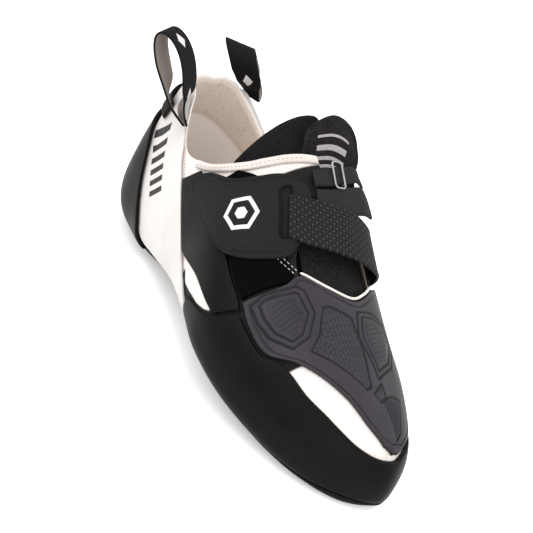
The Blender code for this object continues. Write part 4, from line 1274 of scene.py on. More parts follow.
@dataclass
class CapRelief:
    """The toe cap's moulding: border lands, framed panels, bricks and ribs."""

    depth: float = 0.00055
    rib_mm: float = 2.3
    # Outlines as share of the length and turn.
    side_panel: Rows = field(default_factory=lambda: [
        (0.667, 0.290), (0.660, 0.370), (0.665, 0.580), (0.675, 0.620), (0.720, 0.640), (0.760, 0.530),
        (0.770, 0.400), (0.735, 0.310), (0.702, 0.290)])
    brick_panel: Rows = field(default_factory=lambda: [
        (0.712, 0.710), (0.712, 0.770), (0.735, 0.920), (0.800, 0.920), (0.865, 0.880), (0.870, 0.820),
        (0.785, 0.500), (0.760, 0.610)])
    inner_panel: Rows = field(default_factory=lambda: [
        (0.723, 0.990), (0.718, 1.150), (0.725, 1.320), (0.768, 1.370), (0.822, 1.220), (0.853, 0.990),
        (0.773, 0.930)])
    small_panel: Rows = field(default_factory=lambda: [
        (0.878, 0.890), (0.860, 1.010), (0.882, 1.030), (0.892, 0.950)])
    tip_panel: Rows = field(default_factory=lambda: [
        (0.890, 0.990), (0.880, 1.090), (0.878, 1.270), (0.933, 1.240), (0.948, 1.140)])

    def _to(self, cut: Cut, outline: Rows) -> np.ndarray:
        """Signed distance to an outline in millimetres on the flattened cap."""
        return distance_to_outline(cut.along * LENGTH_MM, cut.turn * TURN_MM, np.array(outline) * FLAT_MM)

    def __call__(self, cut: Cut) -> np.ndarray:
        """Height over the cap's face.

        Grooves run at set distances from the border and from each panel's outline. The brick panel and the
        tip panel lie lower. The side panel and the inner panel hold plain ribs across their middle.
        """
        edge_mm = cut.edge / MM
        side = self._to(cut, self.side_panel)
        brick = self._to(cut, self.brick_panel)
        inner = self._to(cut, self.inner_panel)
        small = self._to(cut, self.small_panel)
        tip = self._to(cut, self.tip_panel)
        lines = np.maximum.reduce([
            groove(edge_mm, 3.0, 0.42) * 0.8,
            groove(side, 0.0, 0.50), groove(side, -2.6, 0.42),
            groove(brick, 0.0, 0.50),
            groove(inner, 0.0, 0.50), groove(inner, -2.4, 0.42),
            groove(small, 0.0, 0.40), groove(tip, 0.0, 0.45)])
        sunk = (0.55 * smoothstep(-brick / 0.8) + 0.45 * smoothstep(-tip / 0.8)
                + 0.4 * smoothstep(-small / 0.6))
        x, y = cut.along * LENGTH_MM, cut.turn * TURN_MM
        rib = 0.5 + 0.5 * np.cos(2 * math.pi * ((x + y * 0.35) / self.rib_mm))
        cross_rib = 0.5 + 0.5 * np.cos(2 * math.pi * ((x * 0.25 - y) / self.rib_mm))
        in_side = smoothstep((-side - 4.2) / 0.8)
        in_inner = smoothstep((-inner - 4.2) / 0.8)
        in_tip = smoothstep((-tip - 1.0) / 0.6)
        ribs = 0.55 * rib * in_side + 0.5 * rib * in_inner + 0.6 * cross_rib * in_tip
        pillow = 0.35 * smoothstep((-side - 3.0) / 3.0) + 0.35 * smoothstep((-inner - 3.0) / 3.0)
        valleys = 0.35 * (1 - rib) * (in_side + in_inner) + 0.5 * (1 - cross_rib) * in_tip
        bricked = np.maximum(smoothstep((-brick - 0.7) / 0.4), smoothstep((-small - 0.6) / 0.4))
        cut.attributes["brick"] = bricked
        # Mask for the painted shade of the cap's colour: grooves and the valleys between ribs.
        cut.attributes["groove"] = np.clip(lines + valleys, 0, 1)
        return self.depth * (ribs + pillow - lines - sunk * 0.5)


@dataclass
class PadRelief:
    """The wing pad's face: a raised middle, two stitched channels and the sunk slot of the strap."""

    channel: float = 0.00030
    recess: float = 0.0012
    slot_start: tuple = (0.502, 0.690)
    slot_end: tuple = (0.577, 0.610)
    motif: tuple = (0.500, 0.430)
    motif_turn_mm: float = 100.0

    def slot_distance(self, along: np.ndarray, turn: np.ndarray) -> np.ndarray:
        """Distance in millimetres to the slot's middle line on the flattened pad."""
        start, end = np.array([self.slot_start, self.slot_end]) * FLAT_MM
        return segment_distance(along * LENGTH_MM, turn * TURN_MM, start, end)

    def __call__(self, cut: Cut) -> np.ndarray:
        """Height over the pad's face: a soft swell, less two channels and the slot's recess."""
        edge_mm = cut.edge / MM
        swell = 0.0004 * smoothstep((edge_mm - 1.0) / 5.0)
        lines = groove(edge_mm, 2.4, 0.55) + groove(edge_mm, 4.6, 0.55)
        slot = 1 - smoothstep((self.slot_distance(cut.along, cut.turn) - 1.3) / 0.5)
        cut.attributes["mark_x"] = (cut.along - self.motif[0]) * LENGTH_MM
        cut.attributes["mark_y"] = (cut.turn - self.motif[1]) * self.motif_turn_mm
        return swell - self.channel * lines * (1 - slot) - self.recess * slot


@dataclass
class PaddedRim:
    """A soft thick rim along a piece's border, with a stitched line under it."""

    width_mm: float = 3.6
    height: float = 0.0009
    label: tuple = (0.444, 1.030)
    label_turn_mm: float = 56.0

    def __call__(self, cut: Cut) -> np.ndarray:
        """Height: half a sine across the rim, then a valley of a quarter of its height."""
        edge_mm = cut.edge / MM
        rim = np.sin(math.pi * np.clip(edge_mm / self.width_mm, 0, 1))
        valley = np.exp(-((edge_mm - self.width_mm - 0.4) / 0.6)**2)
        # The rim's swell also sets a painted highlight in the mesh's colour.
        cut.attributes["rim_highlight"] = rim
        cut.attributes["mark_x"] = (cut.along - self.label[0]) * LENGTH_MM
        cut.attributes["mark_y"] = (cut.turn - self.label[1]) * self.label_turn_mm
        return self.height * rim - self.height * 0.25 * valley


def selvedge(cut: Cut) -> np.ndarray:
    """Height of a woven strap: its two edges are a little thicker, 0.2 mm."""
    return 0.0002 * np.exp(-((cut.edge / MM - 0.9) / 0.6)**2)


@dataclass
class HeelMark:
    """Where the heel leather's plain bars lie: in the outer side's panel, slanting down to the front."""

    middle: tuple = (-0.160, 0.330)
    slant: float = 0.79
    girth_mm: float = 245.0
    turn_mm: float = 62.0

    def __call__(self, cut: Cut) -> np.ndarray:
        """Millimetres along and across the row of bars; the face itself stays smooth."""
        x = (cut.along - self.middle[0]) * self.girth_mm
        y = (cut.turn - self.middle[1]) * self.turn_mm
        cut.attributes["mark_x"] = x * math.cos(self.slant) + y * math.sin(self.slant)
        cut.attributes["mark_y"] = y * math.cos(self.slant) - x * math.sin(self.slant)
        cut.attributes["marked"] = (cut.along < 0).astype(float)
        return np.zeros_like(cut.along)


def swollen(cut: Cut) -> np.ndarray:
    """Height of a soft strip: it swells by 0.25 mm towards its middle."""
    return 0.00025 * smoothstep(cut.edge / MM / 2.0)


@dataclass
class Stitching:
    """A row of thread stitches laid along a line on the last."""

    name: str
    kind: Map
    line: Rows
    depth: float
    finish: Finish
    slot: str
    pitch_mm: float = 2.6
    stitch_mm: float = 1.8
    thread_mm: float = 0.42
    offsets_mm: tuple = (0.0,)
    closed: bool = False

    def _template(self) -> tuple[np.ndarray, np.ndarray]:
        """One stitch: a bead whose radius is sqrt(1 - t^2) along its length, 7 rings of 6 points."""
        t = np.linspace(-1, 1, 7)
        angle = np.arange(6) * math.pi / 3
        radius = np.sqrt(np.maximum(1 - t**2, 0.0004)) * self.thread_mm / 2
        ring = np.stack([np.broadcast_to(t[:, None] * self.stitch_mm / 2, (7, 6)),
                         radius[:, None] * np.cos(angle), radius[:, None] * np.sin(angle)], -1)
        index = np.arange(42).reshape(7, 6)
        ahead = np.roll(index, -1, 1)
        side = np.stack([index[:-1], ahead[:-1], ahead[1:], index[1:]], -1).reshape(-1, 4)
        ends = [[0, 1, 2, 3], [0, 3, 4, 5], [36, 39, 38, 37], [36, 41, 40, 39]]
        return ring.reshape(-1, 3) * MM, np.concatenate([side, np.array(ends)])

    def build(self, last: Last) -> bpy.types.Object:
        """Place the stitches at even steps along the line, each in the surface's own axes."""
        corners = np.array(self.line, dtype=float)
        at = np.linspace(0, len(corners) - 1, 600)
        if self.closed:
            fine = np.stack([np.interp(at, np.arange(len(corners)), c) for c in corners.T], -1)
        else:
            fine = np.stack([open_spline(c, at) for c in corners.T], -1)
        points, frames = [], []
        for offset in self.offsets_mm:
            face, normal = last.lay(self.kind, fine[:, 0], fine[:, 1], self.depth)
            ahead = unit(np.gradient(face, axis=0))
            side = unit(np.cross(normal, ahead))
            face = face + side * offset * MM
            walked = arc_lengths(face[:, None], 0)[:, 0]
            stops = np.arange(self.pitch_mm / 2, walked[-1] / MM, self.pitch_mm) * MM
            points.append(np.stack([np.interp(stops, walked, c) for c in face.T], -1))
            frames.append(np.stack([np.stack([np.interp(stops, walked, c) for c in axis.T], -1)
                                    for axis in (ahead, side, normal)], 1))
        origin = np.concatenate(points)
        axes = np.concatenate(frames)
        shape, face = self._template()
        placed = origin[:, None] + np.einsum("pk,nkc->npc", shape, axes)
        faces = (face[None] + np.arange(len(origin))[:, None, None] * len(shape)).reshape(-1, 4)
        item = add_mesh(self.name, placed.reshape(-1, 3), faces, [self.finish.build()], {}, weld=False)
        return finish_piece(item, ())


@dataclass
class Cord:
    """A round cord, wire or moulded ridge along a path."""

    name: str
    diameter: float
    finish: Finish
    slot: str
    nodes: tuple = ()
    closed: bool = False
    sides: int = 14

    def build(self, path: np.ndarray, up: np.ndarray) -> bpy.types.Object:
        """Carry a circle along the path.

        Args:
            path: Points of the middle line.
            up: The direction at each point that the circle's second axis keeps to.

        Returns:
            The finished object.
        """
        if self.closed:
            ahead = unit(np.roll(path, -1, 0) - np.roll(path, 1, 0))
        else:
            ahead = unit(np.gradient(path, axis=0))
        side = unit(np.cross(ahead, up))
        over = np.cross(side, ahead)
        angle = np.arange(self.sides) * 2 * math.pi / self.sides
        taper = np.ones(len(path))
        if not self.closed:
            ends = np.minimum(np.arange(len(path)), np.arange(len(path))[::-1])
            taper = np.sqrt(1 - (1 - np.clip((ends + 0.05) / 3, 0, 1))**2)
        ring = side[:, None] * np.cos(angle)[None, :, None] + over[:, None] * np.sin(angle)[None, :, None]
        points = path[:, None] + ring * (taper * self.diameter / 2)[:, None, None]
        count = len(path)
        index = np.arange(count * self.sides).reshape(count, self.sides)
        ahead_ring = np.roll(index, -1, 0) if self.closed else index[1:]
        base = index if self.closed else index[:-1]
        corners = [base, ahead_ring, np.roll(ahead_ring, -1, 1), np.roll(base, -1, 1)]
        faces = np.stack(corners, -1).reshape(-1, 4)
        if not self.closed:
            pairs = np.arange(1, self.sides - 1, 2)
            caps = np.stack([0 * pairs, pairs, pairs + 1, np.minimum(pairs + 2, self.sides - 1)], -1)[:-1]
            last_ring = (count - 1) * self.sides
            tail = np.array([[0, self.sides - 3, self.sides - 2, self.sides - 1]])
            cap = np.concatenate([caps, tail]) if len(caps) else tail
            faces = np.concatenate([faces, cap, cap[:, ::-1] + last_ring])
        item = add_mesh(self.name, points.reshape(-1, 3), faces, [self.finish.build()], {})
        return finish_piece(item, self.nodes)


@dataclass
class PullLoop:
    """A tape folded into a loop: flat on the heel where its ends are stitched, turned above them."""

    name: str
    girth: float
    turn: float
    lean: tuple
    facing_degrees: float
    width: float = 0.017
    thickness: float = 0.0012
    reach: float = 0.044
    opening: float = 0.016
    rise: float = 0.004
    # Shares of the height: up to the first the tape turns, at the second it has its full width.
    turned_at: float = 0.45
    wide_at: float = 0.55
    # How far out the inner face shows its lighter side, in widths.
    lighter_to: float = 0.42
    steps: int = 120
    columns: int = 20

    def build(self, last: Last) -> bpy.types.Object:
        """Make the tape: over the fold f its legs stand apart by sin(pi f), at a height of cos(pi f / 2)."""
        off = LAYERS.rand_outer - LAYERS.gap - self.thickness * 1.25
        base = last.place(Map.AROUND, self.girth, self.turn, off)
        outward = base - last.place(Map.AROUND, self.girth, self.turn, off + 0.01)
        start = math.atan2(outward[1], outward[0])
        twist = (math.radians(self.facing_degrees) - start + math.pi / 2) % math.pi - math.pi / 2
        share = np.linspace(-1, 1, self.steps)
        fold = np.abs(share)
        up = np.cos(fold * math.pi / 2)
        apart = self.thickness * 0.75 * fold + self.opening / 2 * np.sin(math.pi * fold)
        settle = smoothstep(up / self.turned_at)
        heading = start + twist * settle
        flat = np.zeros_like(heading)
        normal = np.stack([np.cos(heading), np.sin(heading), flat], 1)
        wide = np.stack([-np.sin(heading), np.cos(heading), flat], 1)
        axis = base + np.array(self.lean) * self.reach * up[:, None]
        axis += normal * (self.rise * np.sin(math.pi * np.clip(up / 0.5, 0, 1)) * (1 - settle))[:, None]
        path = axis + normal * (np.sign(share) * apart)[:, None]
        over = unit(np.cross(np.gradient(path, axis=0), wide))
        width = self.width * (0.5 + 0.5 * np.clip(up / self.wide_at, 0, 1))
        edge = steps_with_rims(self.columns, 0.02) / 2
        sheet = path[:, None] + wide[:, None] * (edge[None, :, None] * width[:, None, None])
        rim = np.sqrt(1 - np.clip((np.abs(edge) - 0.48) / 0.02, 0, 1)**2 * 0.9)
        half = over[:, None] * (self.thickness / 2 * rim)[None, :, None]
        points = np.concatenate([(sheet + half).reshape(-1, 3), (sheet - half).reshape(-1, 3)])
        faces = slab_faces(*sheet.shape[:2])
        look = np.zeros(len(faces), dtype=int)
        centre = sheet.mean(axis=(0, 1))
        outer_is_first = np.einsum("rc,rc->r", over, path - centre).mean() > 0
        inside = np.tile(np.abs(edge[:-1] + edge[1:]) / 2 < self.lighter_to, len(sheet) - 1)
        first = len(inside) if outer_is_first else 0
        look[first:first + len(inside)] = inside
        walked = arc_lengths(sheet, 0) / MM
        aside = np.broadcast_to(edge[None, :], walked.shape) * self.width / MM
        cloth = np.stack([walked, aside, np.zeros_like(walked)], -1).reshape(-1, 3)
        item = add_mesh(self.name, points, faces, [LOOP_TAPE.build(), LOOP_TAPE_INSIDE.build()],
                        {"cloth": np.tile(cloth, (2, 1))}, look)
        return finish_piece(item, (self.name,))


HEEL_RAND_EDGE = [
    (-0.520, -0.160), (-0.475, -0.115), (-0.405, -0.010), (-0.338, 0.140), (-0.265, 0.350), (-0.232, 0.440),
    (-0.200, 0.545), (-0.170, 0.615), (-0.150, 0.660), (-0.120, 0.715), (0.000, 0.718), (0.060, 0.730),
    (0.090, 0.692), (0.120, 0.642), (0.150, 0.595), (0.175, 0.562), (0.210, 0.520), (0.265, 0.350),
    (0.338, 0.130), (0.405, -0.050), (0.460, -0.130), (0.520, -0.200)]
RAND_EDGE = [
    (-1.522, -0.140), (-1.492, -0.095), (-1.451, -0.035), (-1.411, 0.025), (-1.374, 0.080), (-1.335, 0.220),
    (-1.290, 0.225), (-1.220, 0.240), (-1.140, 0.240), (-1.080, 0.220), (-1.040, 0.190), (-1.015, 0.160),
    (-0.984, 0.172), (-0.946, 0.222), (-0.904, 0.290), (-0.866, 0.320), (-0.826, 0.312), (-0.790, 0.305),
    (-0.772, 0.285), (-0.744, 0.228), (-0.710, 0.220), (-0.665, 0.220), (-0.626, 0.100), (-0.589, 0.025),
    (-0.549, -0.035), (-0.508, -0.095), (-0.478, -0.140)]
HEEL_RUBBER_EDGE = [
    (-0.220, -0.360), (-0.190, -0.120), (-0.165, 0.010), (-0.142, 0.130), (-0.120, 0.270), (-0.106, 0.390),
    (-0.090, 0.460), (-0.060, 0.500), (0.000, 0.510), (0.060, 0.500), (0.090, 0.460), (0.106, 0.390),
    (0.120, 0.270), (0.142, 0.130), (0.165, 0.010), (0.190, -0.120), (0.220, -0.360)]


def above_the_sole(last: Last, girth: np.ndarray) -> np.ndarray:
    """Low edge of what stands on the outsole's rim."""
    return last.sole_edge(girth) + 0.010


def tape_foot(last: Last, girth: np.ndarray) -> np.ndarray:
    """Low edge of the tape at the back of the heel."""
    return np.full(girth.shape, 0.560)


@dataclass
class Base:
    """Outsole, upper and insole."""

    def build(self, last: Last) -> None:
        """Build the three."""
        Outsole("outsole", 0.0, LAYERS.sole_inner, OUTSOLE_RUBBER, "outsole_rubber", ("outsole",), lowest=0.0,
                rim=0.0010).build(last)
        Upper("upper", LAYERS.upper_outer, LAYERS.upper_inner, UPPER_KNIT, "upper_knit", ("upper",),
              columns=400, rows=64, rim=0.0010, opens_below=True, lining=LINING).build(last)
        Insole("insole", LAYERS.insole_outer, LAYERS.insole_outer + LAYERS.insole, INSOLE_FOAM, "insole_foam",
               ("insole",), columns=200, rows=36).build(last)


@dataclass
class Insole(Ring):
    """The insole: a shallow tray whose rim stands a little up the walls."""

    def edges(self, last: Last, girth: np.ndarray) -> tuple[np.ndarray, np.ndarray]:
        """From the middle of the bottom to just under the outsole's edge."""
        return np.full(girth.shape, -1.0), last.sole_edge(girth) - 0.06


@dataclass
class Rands:
    """Toe rand, heel rand, heel rubber and the tape at the back of the heel."""

    def build(self, last: Last) -> None:
        """Build the four."""
        Band("rand", Map.AROUND, LAYERS.rand_outer, LAYERS.rand, RAND_RUBBER, "rand_rubber", ("rand",),
             rim=0.0007, size=(260, 44), first=-1.485, last_girth=-0.515, low=above_the_sole,
             high=RAND_EDGE).build(last)
        Band("heel_rand", Map.AROUND, LAYERS.rand_outer, LAYERS.rand, HEEL_LEATHER, "heel_rand_leather",
             ("heel_rand",), rim=0.0006, size=(220, 50), first=-0.508, last_girth=0.508, low=above_the_sole,
             high=HEEL_RAND_EDGE, relief=HeelMark()).build(last)
        Band("heel_rubber", Map.AROUND, LAYERS.heel_rubber_inner - LAYERS.heel_rubber, LAYERS.heel_rubber,
             RAND_RUBBER, "heel_rubber", ("heel_rubber",), rim=0.0007, size=(110, 46), first=-0.200,
             last_girth=0.200, low=above_the_sole, high=HEEL_RUBBER_EDGE).build(last)
        Band("heel_tape", Map.AROUND, LAYERS.heel_rubber_inner - LAYERS.heel_rubber, LAYERS.heel_rubber,
             HEEL_TAPE, "heel_tape", ("heel_tape",), rim=0.0004, size=(60, 24), first=-0.104,
             last_girth=0.050, low=tape_foot, high=[(-0.11, 0.645), (0.06, 0.645)]).build(last)


@dataclass
class Sides:
    """Slings, loop patch, wing pad with its slot, and the moulded toe cap."""

    sling: Rows = field(default_factory=lambda: [
        ((0.284, 0.350), (0.322, 0.450)), ((0.316, 0.250), (0.370, 0.395)), ((0.352, 0.145), (0.430, 0.335)),
        ((0.392, 0.052), (0.490, 0.290)), ((0.432, 0.000), (0.540, 0.262)), ((0.518, 0.035), (0.584, 0.252)),
        ((0.590, 0.075), (0.632, 0.250)), ((0.630, 0.098), (0.661, 0.232))])
    loop_patch: Rows = field(default_factory=lambda: [
        ((0.380, 0.405), (0.400, 0.560)), ((0.430, 0.348), (0.450, 0.620)), ((0.490, 0.303), (0.520, 0.640)),
        ((0.540, 0.275), (0.570, 0.610)), ((0.584, 0.265), (0.610, 0.585)), ((0.632, 0.263), (0.644, 0.585)),
        ((0.645, 0.262), (0.652, 0.550))])
    wing_pad: Rows = field(default_factory=lambda: [
        ((0.532, 0.220), (0.576, 0.330), (0.598, 0.430), (0.612, 0.550), (0.610, 0.650)),
        ((0.468, 0.230), (0.520, 0.370), (0.547, 0.470), (0.565, 0.600), (0.572, 0.740)),
        ((0.382, 0.270), (0.455, 0.390), (0.500, 0.510), (0.525, 0.660), (0.535, 0.800)),
        ((0.338, 0.330), (0.415, 0.430), (0.467, 0.550), (0.493, 0.680), (0.508, 0.810)),
        ((0.333, 0.450), (0.408, 0.500), (0.443, 0.590), (0.462, 0.690), (0.480, 0.780))])
    cap_rear: Rows = field(default_factory=lambda: [
        (0.652, 0.262), (0.657, 0.400), (0.656, 0.520), (0.648, 0.630), (0.680, 0.790), (0.702, 0.980),
        (0.688, 1.120), (0.656, 1.270), (0.634, 1.440), (0.632, 1.740)])
    # Lateral end, ridge and medial end of each row of the cap.
    cap_rows: Rows = field(default_factory=lambda: [
        ((0.700, 0.242), (0.745, 1.000), (0.690, 1.745)), ((0.756, 0.256), (0.790, 1.000), (0.750, 1.740)),
        ((0.794, 0.378), (0.838, 1.000), (0.815, 1.720)), ((0.829, 0.472), (0.880, 1.000), (0.870, 1.665)),
        ((0.878, 0.596), (0.920, 1.000), (0.915, 1.560)), ((0.922, 0.704), (0.946, 1.020), (0.940, 1.420)),
        ((0.952, 0.880), (0.962, 1.080), (0.958, 1.270))])
    # The ridge round the pad's slot: distance from the slot's middle line, rise over the pad, diameter.
    frame_mm: float = 1.9
    frame_rise: float = 0.0004
    frame_diameter: float = 0.0013
    # Distances of the pad's stitch rows from its border.
    stitch_insets_mm: tuple = (2.4, 4.6)

    def cap_table(self) -> Rows:
        """The cap's control rows: straight from the lateral end over the ridge to the medial end."""
        rows = [list(self.cap_rear)]
        half = np.linspace(0, 1, 6)[:, None]
        for lateral, ridge, medial in self.cap_rows:
            near = np.array(lateral) + (np.array(ridge) - lateral) * half
            far = np.array(ridge) + (np.array(medial) - ridge) * half[1:]
            both = np.concatenate([near, far])
            rows.append([tuple(place) for place in both[[0, 1, 2, 3, 4, 5, 6, 7, 9, 10]]])
        return rows

    def _slot_frame(self, last: Last) -> None:
        """The moulded ridge round the slot: a stadium at a set distance round its middle line."""
        start = np.array(PadRelief.slot_start) * FLAT_MM
        end = np.array(PadRelief.slot_end) * FLAT_MM
        ahead = unit(end - start)
        side = np.array([-ahead[1], ahead[0]])
        angle = np.linspace(-math.pi / 2, math.pi / 2, 13)[:, None]
        bow = self.frame_mm * (np.cos(angle) * ahead + np.sin(angle) * side)
        cap_end, cap_start = end + bow, start - bow
        run = np.linspace(0, 1, 16)[1:-1, None]
        outline = np.concatenate([cap_end, cap_end[-1] + (cap_start[0] - cap_end[-1]) * run, cap_start,
                                  cap_start[-1] + (cap_end[0] - cap_start[-1]) * run])
        along, turn = (outline / FLAT_MM).T
        path, up = last.lay(Map.ACROSS, along, turn, LAYERS.pad_outer - self.frame_rise)
        Cord("slot_frame", self.frame_diameter, RAND_RUBBER, "wing_microfibre", closed=True).build(path, up)

    def build(self, last: Last) -> None:
        """Build the pieces of both sides."""
        mirrored = [tuple((x, 2 - turn) for x, turn in row) for row in self.sling]
        for name, rows in (("sling_lateral", self.sling), ("sling_medial", mirrored)):
            Piece(name, Map.ACROSS, LAYERS.rand_outer, LAYERS.rand, RAND_RUBBER, "sling_rubber", (name,),
                  rim=0.0006, size=(110, 36), rows=rows).build(last)
        Piece("loop_patch", Map.ACROSS, LAYERS.rand_outer, LAYERS.rand, LOOP_PILE, "loop_pile",
              ("loop_patch",), rim=0.0008, size=(90, 60), rows=self.loop_patch).build(last)
        pad = Piece("wing_pad", Map.ACROSS, LAYERS.pad_outer, LAYERS.pad, WING_MICROFIBRE, "wing_microfibre",
                    ("wing_pad",), rim=0.0010, corner=0.007, size=(150, 150), rows=self.wing_pad,
                    relief=PadRelief())
        pad.build(last)
        self._slot_frame(last)
        for inset in self.stitch_insets_mm:
            self._pad_stitches(last, inset)
        Piece("toe_cap", Map.ACROSS, LAYERS.rand_outer, LAYERS.rand, TOE_CAP_RUBBER, "toe_cap_rubber",
              ("toe_cap",), rim=0.0008, size=(240, 205), rows=self.cap_table(),
              relief=CapRelief()).build(last)

    def _pad_stitches(self, last: Last, inset_mm: float) -> None:
        """A row of stitches round the pad at a set distance from its border."""
        half_long, half_wide, corner = 33.0, 24.0, 5.5
        u, v = 1 - inset_mm / half_long, 1 - inset_mm / half_wide
        ru, rv = corner / half_long, corner / half_wide
        angle = np.linspace(0, math.pi / 2, 7)
        quarter = np.stack([u - ru + ru * np.cos(angle), v - rv + rv * np.sin(angle)], -1)
        turned = quarter[::-1]
        loop = np.concatenate([quarter, turned * (-1, 1), -quarter, turned * (1, -1), quarter[:1]])
        steps = np.linspace(0, len(loop) - 1, 160)
        uu, vv = (np.interp(steps, np.arange(len(loop)), loop[:, k]) for k in range(2))
        along, turn = table_grid(self.wing_pad, uu, vv)[:2]
        line = list(zip(along, turn))
        Stitching(f"pad_stitches_{int(inset_mm)}", Map.ACROSS, line, LAYERS.pad_outer - 0.00005, DARK_THREAD,
                  "wing_microfibre", pitch_mm=2.3, stitch_mm=1.7, thread_mm=0.36, closed=True).build(last)


@dataclass
class Closure:
    """Webbing strap, instep bands, wire ring, collar binding, tongue, inner sleeve and piping."""

    webbing: Rows = field(default_factory=lambda: [
        ((0.516, 0.690, 0.0), (0.550, 0.655, 0.0), (0.586, 0.620, 0.0)),
        ((0.536, 0.830, 0.0), (0.572, 0.770, 0.0), (0.604, 0.710, 0.0)),
        ((0.548, 0.960, 0.0), (0.586, 0.900, 0.0), (0.620, 0.840, 0.0)),
        ((0.554, 1.090, 0.0), (0.596, 1.060, 0.0), (0.634, 1.030, 0.0)),
        ((0.552, 1.240, 0.0), (0.595, 1.240, 0.0), (0.636, 1.240, 0.0)),
        ((0.522, 1.450, -0.5), (0.564, 1.460, -0.5), (0.607, 1.470, -0.5)),
        ((0.480, 1.660, -1.2), (0.524, 1.680, -1.2), (0.568, 1.700, -1.2)),
        ((0.458, 1.820, -1.3), (0.500, 1.840, -1.3), (0.543, 1.860, -1.3))])
    instep_band: Rows = field(default_factory=lambda: [
        ((0.512, 0.850, 0.0), (0.556, 0.830, 0.0)), ((0.513, 0.960, 0.0), (0.560, 0.960, 0.0)),
        ((0.502, 1.070, 0.0), (0.550, 1.080, 0.0)), ((0.490, 1.170, 2.2), (0.544, 1.180, 2.2)),
        ((0.480, 1.260, 3.3), (0.536, 1.270, 3.3))])
    upper_band: Rows = field(default_factory=lambda: [
        ((0.477, 0.860, 0.0), (0.505, 0.850, 0.0)), ((0.474, 0.960, 0.0), (0.505, 0.960, 0.0)),
        ((0.464, 1.060, 0.0), (0.494, 1.065, 0.0)), ((0.452, 1.150, 2.2), (0.483, 1.155, 2.2)),
        ((0.442, 1.240, 3.3), (0.473, 1.245, 3.3))])
    binding: Rows = field(default_factory=lambda: [
        ((0.296, 0.452), (0.292, 0.492)), ((0.338, 0.470), (0.334, 0.506)), ((0.378, 0.520), (0.370, 0.556)),
        ((0.410, 0.590), (0.398, 0.620)), ((0.429, 0.670), (0.415, 0.690)), ((0.442, 0.760), (0.427, 0.770)),
        ((0.452, 0.850), (0.438, 0.855)), ((0.459, 0.920), (0.446, 0.920))])
    # Lateral edge, middle and medial edge: share of the length, turn, lift in tongue thicknesses.
    tongue: Rows = field(default_factory=lambda: [
        ((0.396, 0.935, 3.0), (0.386, 1.030, 4.2), (0.393, 1.150, 5.4)),
        ((0.404, 0.895, 2.4), (0.398, 1.030, 3.8), (0.405, 1.200, 5.1)),
        ((0.416, 0.880, 1.6), (0.414, 1.030, 3.0), (0.421, 1.230, 4.6)),
        ((0.436, 0.850, 0.0), (0.436, 1.040, 0.8), (0.440, 1.240, 3.3)),
        ((0.475, 0.780, 0.0), (0.475, 1.030, 0.1), (0.475, 1.260, 2.0)),
        ((0.540, 0.700, 0.0), (0.536, 1.020, 0.0), (0.540, 1.340, 0.0)),
        ((0.640, 0.660, 0.0), (0.636, 1.010, 0.0), (0.640, 1.360, 0.0)),
        ((0.712, 0.630, 0.0), (0.708, 1.000, 0.0), (0.712, 1.370, 0.0))])
    # x, lateral turn, medial turn, rise towards the collar in sleeve thicknesses.
    sleeve: Rows = field(default_factory=lambda: [
        (0.350, 0.440, 1.560, 1.7), (0.378, 0.420, 1.580, 0.8), (0.410, 0.400, 1.600, 0.0),
        (0.480, 0.380, 1.620, 0.0), (0.640, 0.400, 1.600, 0.0)])
    piping_diameter: float = 0.0014
    wire_diameter: float = 0.0011
    ring_half_length: float = 0.0070
    ring_half_width: float = 0.0030
    ring_corner: float = 0.0018

    def build(self, last: Last) -> None:
        """Build the pieces over and in the throat."""
        Piece("webbing_strap", Map.ACROSS, LAYERS.webbing_inner - LAYERS.webbing, LAYERS.webbing, WEBBING,
              "webbing", ("webbing_strap",), rim=0.0006, size=(150, 40), rows=self.webbing,
              lift=LAYERS.webbing, inner_rim=True, relief=selvedge).build(last)
        for name, rows in (("instep_band", self.instep_band), ("upper_band", self.upper_band)):
            Piece(name, Map.ACROSS, LAYERS.pad_outer, LAYERS.pad, GROSGRAIN, "grosgrain", (name,), rim=0.0005,
                  size=(90, 40), rows=rows, lift=LAYERS.pad, inner_rim=True, relief=selvedge).build(last)
        Piece("collar_binding", Map.ACROSS, LAYERS.rand_outer, LAYERS.rand, BINDING_KNIT, "binding_knit",
              ("collar_binding",), rim=0.0012, size=(150, 22), rows=self.binding, relief=swollen).build(last)
        tongue = Piece("tongue", Map.ACROSS, LAYERS.tongue_outer, LAYERS.tongue, TONGUE_MESH, "tongue_mesh",
                       ("tongue",), rim=0.0014, corner=0.007, size=(170, 90), rows=self.tongue,
                       lift=LAYERS.tongue, inner_rim=True, relief=PaddedRim())
        tongue.build(last)
        rows = [[(x, low, rise), (x, (low + high) / 2, rise), (x, high, rise)]
                for x, low, high, rise in self.sleeve]
        sleeve = Piece("sleeve", Map.ACROSS, LAYERS.sleeve_outer, LAYERS.sleeve, SLEEVE_NEOPRENE,
                       "sleeve_neoprene", ("sleeve",), rim=0.0008, size=(110, 150), rows=rows,
                       lift=LAYERS.sleeve, inner_rim=True, relief=PaddedRim(3.2, 0.0006))
        sleeve.build(last)
        self._piping(last)
        self._wire(last)

    def _piping(self, last: Last) -> None:
        """The white piping along the rear edge of the toe cap, laid just behind it."""
        x, turn = np.array(Sides().cap_rear[3:8]).T
        steps = np.linspace(0, len(x) - 1, 90)
        smooth = [open_spline(c, steps) for c in (x, turn)]
        back = (LAYERS.glue + self.piping_diameter) / last.length
        depth = LAYERS.rand_outer + self.piping_diameter / 2
        path, up = last.lay(Map.ACROSS, smooth[0] - back, smooth[1], depth)
        Cord("throat_piping", self.piping_diameter, PIPING, "piping", ("throat_piping",)).build(path, up)

